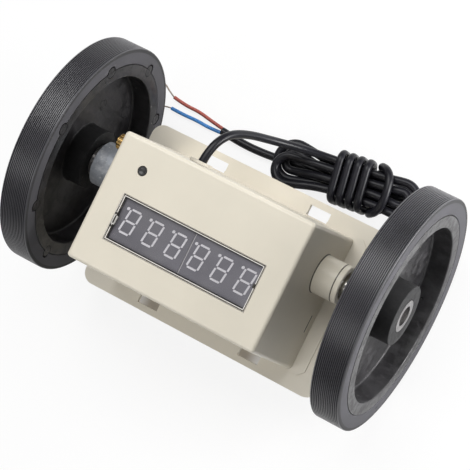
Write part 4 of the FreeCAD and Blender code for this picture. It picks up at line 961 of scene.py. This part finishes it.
class COUNTER_OT_display(bpy.types.Operator):
    """Lay the bars and points of the six digits on the display's face"""
    bl_idname = "counter.display"
    bl_label = "Display"

    def execute(self, context):
        face = display_face()
        for word in ("left", "right"):
            put(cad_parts[f"display_module_{word}"], face)
        paint = plain_plastic("digit_bars", tuple(colours().digit), 0.30, 700.0, 0.92)
        digit = self.digit()
        digits = []
        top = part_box("display_module_left")[1].z
        for number in range(DIGIT_COUNT):
            place = (FIRST_DIGIT[0] + sizes().digit_pitch * number, FIRST_DIGIT[1], top)
            digits.append(copy_at(digit, f"digit_{number}", Matrix.Translation(place)))
        bpy.data.objects.remove(digit)
        for word, chosen in (("left", digits[:3]), ("right", digits[3:])):
            bars = put(join(f"{word}_digit_bars", chosen), paint)
            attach(bars, "housing")
        return {"FINISHED"}

    def bar(self, length):
        """One bar of a digit: a hexagon, drawn out to its length and standing a little proud."""
        deselect()
        radius = sizes().bar_width / math.sqrt(3)
        bpy.ops.mesh.primitive_cylinder_add(vertices=6, radius=radius, depth=BAR_THICKNESS,
                                            location=(0, 0, BAR_HEIGHT),
                                            rotation=(0, 0, math.pi / 6))
        piece = freshly_added("bar")
        for end in (-1, 1):
            select_where(piece, lambda spot: spot.x * end > 0)
            bpy.ops.transform.translate(value=(end * (length / 2 - radius), 0, 0))
            bpy.ops.object.mode_set(mode="OBJECT")
        return piece

    def digit(self):
        """One digit with all seven bars and its point, slanted to the right."""
        high, wide = sizes().digit_height, sizes().digit_width
        gap = sizes().bar_width * 0.80
        level = self.bar(wide - gap)
        upright = self.bar(high / 2 - gap)
        quarter = Matrix.Rotation(math.pi / 2, 4, "Z")
        parts = [copy_at(level, "level", Matrix.Translation((0, y, 0)))
                 for y in (-high / 2, 0, high / 2)]
        parts += [copy_at(upright, "upright", Matrix.Translation((x, y, 0)) @ quarter)
                  for x in (-wide / 2, wide / 2) for y in (-high / 4, high / 4)]
        deselect()
        bpy.ops.mesh.primitive_cylinder_add(vertices=20, radius=POINT_RADIUS, depth=BAR_THICKNESS,
                                            location=(*POINT_PLACE, BAR_HEIGHT))
        parts.append(freshly_added("point"))
        for spare in (level, upright):
            bpy.data.objects.remove(spare)
        digit = join("digit", parts)
        slant = Matrix.Identity(4)
        slant[0][1] = DIGIT_SLANT
        digit.data.transform(slant)
        return digit


def window_rim_finish(top):
    """Glossy edge of the lens, set in a ledge of the case whose shade is painted into its colour.
    """
    finish = Finish("window_rim")
    clouds = finish.noise(300.0, 4.0)
    raised = finish.between(finish.axis("Z"), top - 0.00045, top - 0.00035)
    base = finish.blend(clouds, (0.78, 0.75, 0.70), (0.90, 0.87, 0.84))
    # Painted shade: the ledge below the lips is coloured dark olive.
    base = finish.blend(1 - raised, base, (0.20, 0.178, 0.135))
    return finish.surface(base, clouds * 0.1 + 0.12)


class COUNTER_OT_window(bpy.types.Operator):
    """Model the window's ledge and bright rim, with the latch that breaks it at one end"""
    bl_idname = "counter.window"
    bl_label = "Window"

    def execute(self, context):
        low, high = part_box("window_frame")
        rim = put(self.rim(low, high), window_rim_finish(high.z))
        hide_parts("window_frame")
        left = [(low.x + near, low.x + far, *ends) for near, far, *ends in TONGUE]
        bright = put(self.blocks("lens_latch", left, 0.00095, 0.00008),
                     plain_plastic("clear_latch", (0.74, 0.72, 0.68), 0.12, 320.0, 0.7))
        gaps = [(edge + near, edge + far, *ends)
                for edge, spans in ((low.x, LEFT_GAPS), (high.x, RIGHT_GAPS))
                for near, far, *ends in spans]
        # Painted shade: dark blocks stand on the pane where the gaps round the latch lie in shade.
        dark = put(self.blocks("latch_gap_shade", gaps, 0.00088, 0.00005),
                   plain_plastic("painted_gap_shade", (0.03, 0.026, 0.02), 0.5))
        for piece, slot in ((rim, "bright_bezel"), (bright, "smoked_lens"), (dark, "smoked_lens")):
            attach(piece, "housing")
        put(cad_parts["window_lens"], clear_lens())
        return {"FINISHED"}

    def rim(self, low, high):
        """A plane with its middle inset: down to a ledge, up to a narrow lip, and cut out."""
        deselect()
        bpy.ops.mesh.primitive_plane_add(
            size=1.0, location=((low.x + high.x) / 2, (low.y + high.y) / 2, high.z))
        bpy.ops.transform.resize(value=(high.x - low.x, high.y - low.y, 1))
        piece = freshly_added("window_rim")
        bpy.ops.object.mode_set(mode="EDIT")
        bpy.ops.mesh.select_all(action="SELECT")
        for thickness, depth in RIM_STEPS:
            bpy.ops.mesh.inset(thickness=thickness, depth=depth)
        bpy.ops.mesh.delete(type="FACE")
        bpy.ops.mesh.select_all(action="SELECT")
        bpy.ops.mesh.normals_make_consistent(inside=False)
        bpy.ops.object.mode_set(mode="OBJECT")
        modify(piece, "SOLIDIFY", thickness=0.0004, offset=-1.0)
        return piece

    def blocks(self, name, spans, height, bevel):
        """Low blocks that stand on the pane, each given by its ends along X and along Y."""
        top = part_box("window_lens")[1].z
        return join(name, [slab("block", (left, front, top), (right, back, top + height), bevel)
                           for left, right, front, back in spans])


# ---- Finishes of the CAD pieces ----

class COUNTER_OT_finishes(bpy.types.Operator):
    """Give each CAD piece that stays its own finish"""
    bl_idname = "counter.finishes"
    bl_label = "Finishes"

    def execute(self, context):
        steel = metal("zinc_plated_steel", (0.56, 0.57, 0.58), 0.22, 0.2)
        ground = metal("ground_steel", (0.68, 0.67, 0.65), 0.10, 0.12, scale=900.0,
                       stretch=(0.1, 1.0, 1.0), mottle=0.12)
        # The bearings' steel is near white and mostly not metallic: a painted reflection of the
        # light caught in the cap's bore.
        pale_bearing_steel = metal("bearing_steel", (0.96, 0.95, 0.94), 0.14, 0.12, scale=500.0,
                         mottle=0.10, purity=0.2)
        turned_steel = metal("turned_steel", (0.34, 0.33, 0.33), 0.28, 0.2, scale=700.0,
                             stretch=(6.0, 1.0, 1.0), mottle=0.3)
        brass = metal("turned_brass", tuple(colours().brass), 0.16, 0.22, scale=900.0, mottle=0.75)
        black = plain_plastic("component_black", (0.022, 0.022, 0.024), 0.42)
        beige = beige_moulding()
        green = circuit_green()
        table = {
            beige: ["case", "bearing_cap"],
            painted_sheet(): ["base_plate"],
            steel: ["base_screws", "board_screws", "sensor_screws", "sleeve_nut",
                    "wheel_grub_screws", "disc_grub_screw"],
            ground: ["shaft"],
            pale_bearing_steel: ["left_bearing_outer", "left_bearing_inner", "left_bearing_balls",
                       "right_bearing_outer", "right_bearing_inner", "right_bearing_balls",
                       "retaining_rings"],
            turned_steel: ["left_hub_bush", "right_hub_bush", "counting_disc"],
            brass: ["earth_stud", "earth_washer", "earth_nut", "disc_hub"],
            zinc_sleeve(): ["bearing_sleeve"],
            green: ["main_board", "sensor_board"],
            black: ["controller_chip", "smoothing_capacitor", "light_barriers", "reset_switch",
                    "switch_plunger"],
            plain_plastic("button_black", (0.03, 0.03, 0.03), 0.30, 500.0): ["reset_button"],
            plain_plastic("grommet_nylon", (0.66, 0.62, 0.54), 0.40, 400.0): ["lead_grommet"],
            plain_plastic("terminal_green", (0.03, 0.22, 0.08), 0.40): ["lead_terminal"],
            plain_plastic("spacer_nylon", (0.72, 0.71, 0.66), 0.35): ["sensor_spacers"],
            plain_plastic("ribbon_grey", (0.40, 0.40, 0.41), 0.45): ["sensor_ribbon"],
            core_skin("inner_red_skin", tuple(colours().red)): ["inner_cores"],
        }
        for material, names in table.items():
            for name in names:
                put(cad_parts[name], material)
        return {"FINISHED"}


# ---- Stage ----

LAMPS = (  # the place, the two sides and the power of each softbox
    ("back_box", (-0.24, 0.54, 1.05), (1.2, 0.56), 10.7),
    ("front_box", (-0.24, -0.64, 0.98), (1.2, 0.44), 4.5),
    ("side_box", (0.35, 0.15, 0.05), (0.18, 0.18), 1.9),
)
WORLD_LIGHT = 0.19                          # strength on the object; the backdrop itself is white
FLOOR_GLOW, MIRRORED_GLOW = 0.84, 0.18      # the floor's glow to the camera and in reflections
POOL_MIDDLE = -0.0118                       # the shade under the plate's near half, along X
POOL_REACH = (0.024, 0.046)                 # from full to none on both sides of that
POOL_NEAR, POOL_FAR = (-0.0490, -0.0470), (-0.036, -0.008)  # its two soft edges, along Y
# The camera was solved from the photo: where its right, its top and its back point, and its place.
CAMERA_AXES = ((0.839526, 0.440876, -0.317528), (-0.427308, 0.896726, 0.115288),
               (0.335564, 0.038894, 0.941214))
CAMERA_PLACE = (0.241186, 0.026065, 0.671737)
CAMERA_LENS, SENSOR_WIDTH = 142.78, 36.0


class COUNTER_OT_stage(bpy.types.Operator):
    """Set the pale floor, the soft lights and the camera"""
    bl_idname = "counter.stage"
    bl_label = "Stage"

    def execute(self, context):
        deselect()
        bpy.ops.mesh.primitive_plane_add(size=8.0, location=(0, 0, FLOOR * MM - 0.0002))
        floor = freshly_added("floor")
        put(floor, self.floor_paint())
        for lamp in LAMPS:
            self.lamp(*lamp)
        self.world()
        self.camera()
        bpy.context.scene.view_settings.view_transform = "Standard"
        return {"FINISHED"}

    def floor_paint(self):
        """Pale paint that glows towards the camera, with a soft shade under the base plate."""
        finish = Finish("pale_floor")
        clouds = finish.noise(3.0, 2.0)
        glow = finish.add("ShaderNodeEmission", {}, {"Color": (1, 1, 1, 1), "Strength": 1.0})
        seen = finish.add("ShaderNodeLightPath", {}, {}, "Is Camera Ray")
        mirrored = finish.add("ShaderNodeLightPath", {}, {}, "Is Glossy Ray")
        across = 1 - finish.between(abs(finish.axis("X") - POOL_MIDDLE), *POOL_REACH)
        near = finish.between(finish.axis("Y"), *POOL_NEAR)
        pool = across * near * (1 - finish.between(finish.axis("Y"), *POOL_FAR))
        tone = finish.blend(clouds, (0.93, 0.93, 0.93), (0.95, 0.95, 0.95))
        tone = finish.blend(pool, tone, (0.48, 0.43, 0.36))
        diffuse = finish.add("ShaderNodeBsdfDiffuse", {}, {"Color": tone})
        share = seen * (FLOOR_GLOW - pool * FLOOR_GLOW) + mirrored * MIRRORED_GLOW
        mixed = finish.add("ShaderNodeMixShader", {}, {0: share, 1: diffuse, 2: glow})
        finish.add_output(mixed)
        return finish.material

    def lamp(self, name, place, spread, power):
        """A softbox that faces the origin, with its first side along X as far as that goes."""
        deselect()
        back = Vector(place).normalized()
        right = (Vector((1, 0, 0)) - back * back.x).normalized()
        turn = Matrix((right, back.cross(right), back)).transposed().to_euler()
        bpy.ops.object.light_add(type="AREA", location=place, rotation=turn)
        lamp = bpy.context.active_object
        lamp.name = name
        lamp.data.shape = "RECTANGLE"
        lamp.data.size, lamp.data.size_y = spread
        lamp.data.energy = power

    def world(self):
        """An even soft light, which shows as white to the camera alone."""
        world = bpy.data.worlds.new("studio")
        world.use_nodes = True
        tree = world.node_tree
        tree.nodes.clear()
        backdrop = tree.nodes.new("ShaderNodeBackground")
        backdrop.inputs["Color"].default_value = (1, 1, 1, 1)
        rays = tree.nodes.new("ShaderNodeLightPath")
        seen = tree.nodes.new("ShaderNodeMath")
        seen.operation = "MULTIPLY_ADD"
        tree.links.new(rays.outputs["Is Camera Ray"], seen.inputs[0])
        seen.inputs[1].default_value = 1 - WORLD_LIGHT
        seen.inputs[2].default_value = WORLD_LIGHT
        tree.links.new(seen.outputs[0], backdrop.inputs["Strength"])
        output = tree.nodes.new("ShaderNodeOutputWorld")
        tree.links.new(backdrop.outputs[0], output.inputs["Surface"])
        bpy.context.scene.world = world

    def camera(self):
        """The photo's own camera, at its place and with its angle of view."""
        deselect()
        bpy.ops.object.camera_add()
        camera = bpy.context.active_object
        camera.name = "photo_camera"
        turn = Matrix(CAMERA_AXES).transposed().to_4x4()
        camera.matrix_world = Matrix.Translation(CAMERA_PLACE) @ turn
        camera.data.lens = CAMERA_LENS
        camera.data.sensor_width = SENSOR_WIDTH
        camera.data.clip_start = 0.01
        camera.data.clip_end = 20.0
        bpy.context.scene.camera = camera


class COUNTER_PT_panel(bpy.types.Panel):
    """The counter's pieces, sizes and colours"""
    bl_idname = "COUNTER_PT_panel"
    bl_label = "Cable length counter"
    bl_space_type = "VIEW_3D"
    bl_region_type = "UI"
    bl_category = "Counter"

    def draw(self, context):
        for operator in OPERATORS:
            self.layout.operator(operator.bl_idname)
        for group in (context.scene.counter_sizes, context.scene.counter_colours):
            for name in group.__annotations__:
                self.layout.prop(group, name)


OPERATORS = (COUNTER_OT_stage, COUNTER_OT_lead, COUNTER_OT_tyres, COUNTER_OT_wheel_mouldings,
             COUNTER_OT_display, COUNTER_OT_window, COUNTER_OT_finishes)
CLASSES = (CounterSizes, CounterColours, *OPERATORS, COUNTER_PT_panel)


def register():
    for item in CLASSES:
        bpy.utils.register_class(item)
    bpy.types.Scene.counter_sizes = PointerProperty(type=CounterSizes)
    bpy.types.Scene.counter_colours = PointerProperty(type=CounterColours)


def unregister():
    del bpy.types.Scene.counter_sizes
    del bpy.types.Scene.counter_colours
    for item in reversed(CLASSES):
        bpy.utils.unregister_class(item)


def main():
    register()
    bpy.ops.counter.stage()
    bpy.ops.counter.lead()
    bpy.ops.counter.tyres()
    bpy.ops.counter.wheel_mouldings()
    bpy.ops.counter.display()
    bpy.ops.counter.window()
    bpy.ops.counter.finishes()


if __name__ == "__main__":
    main()
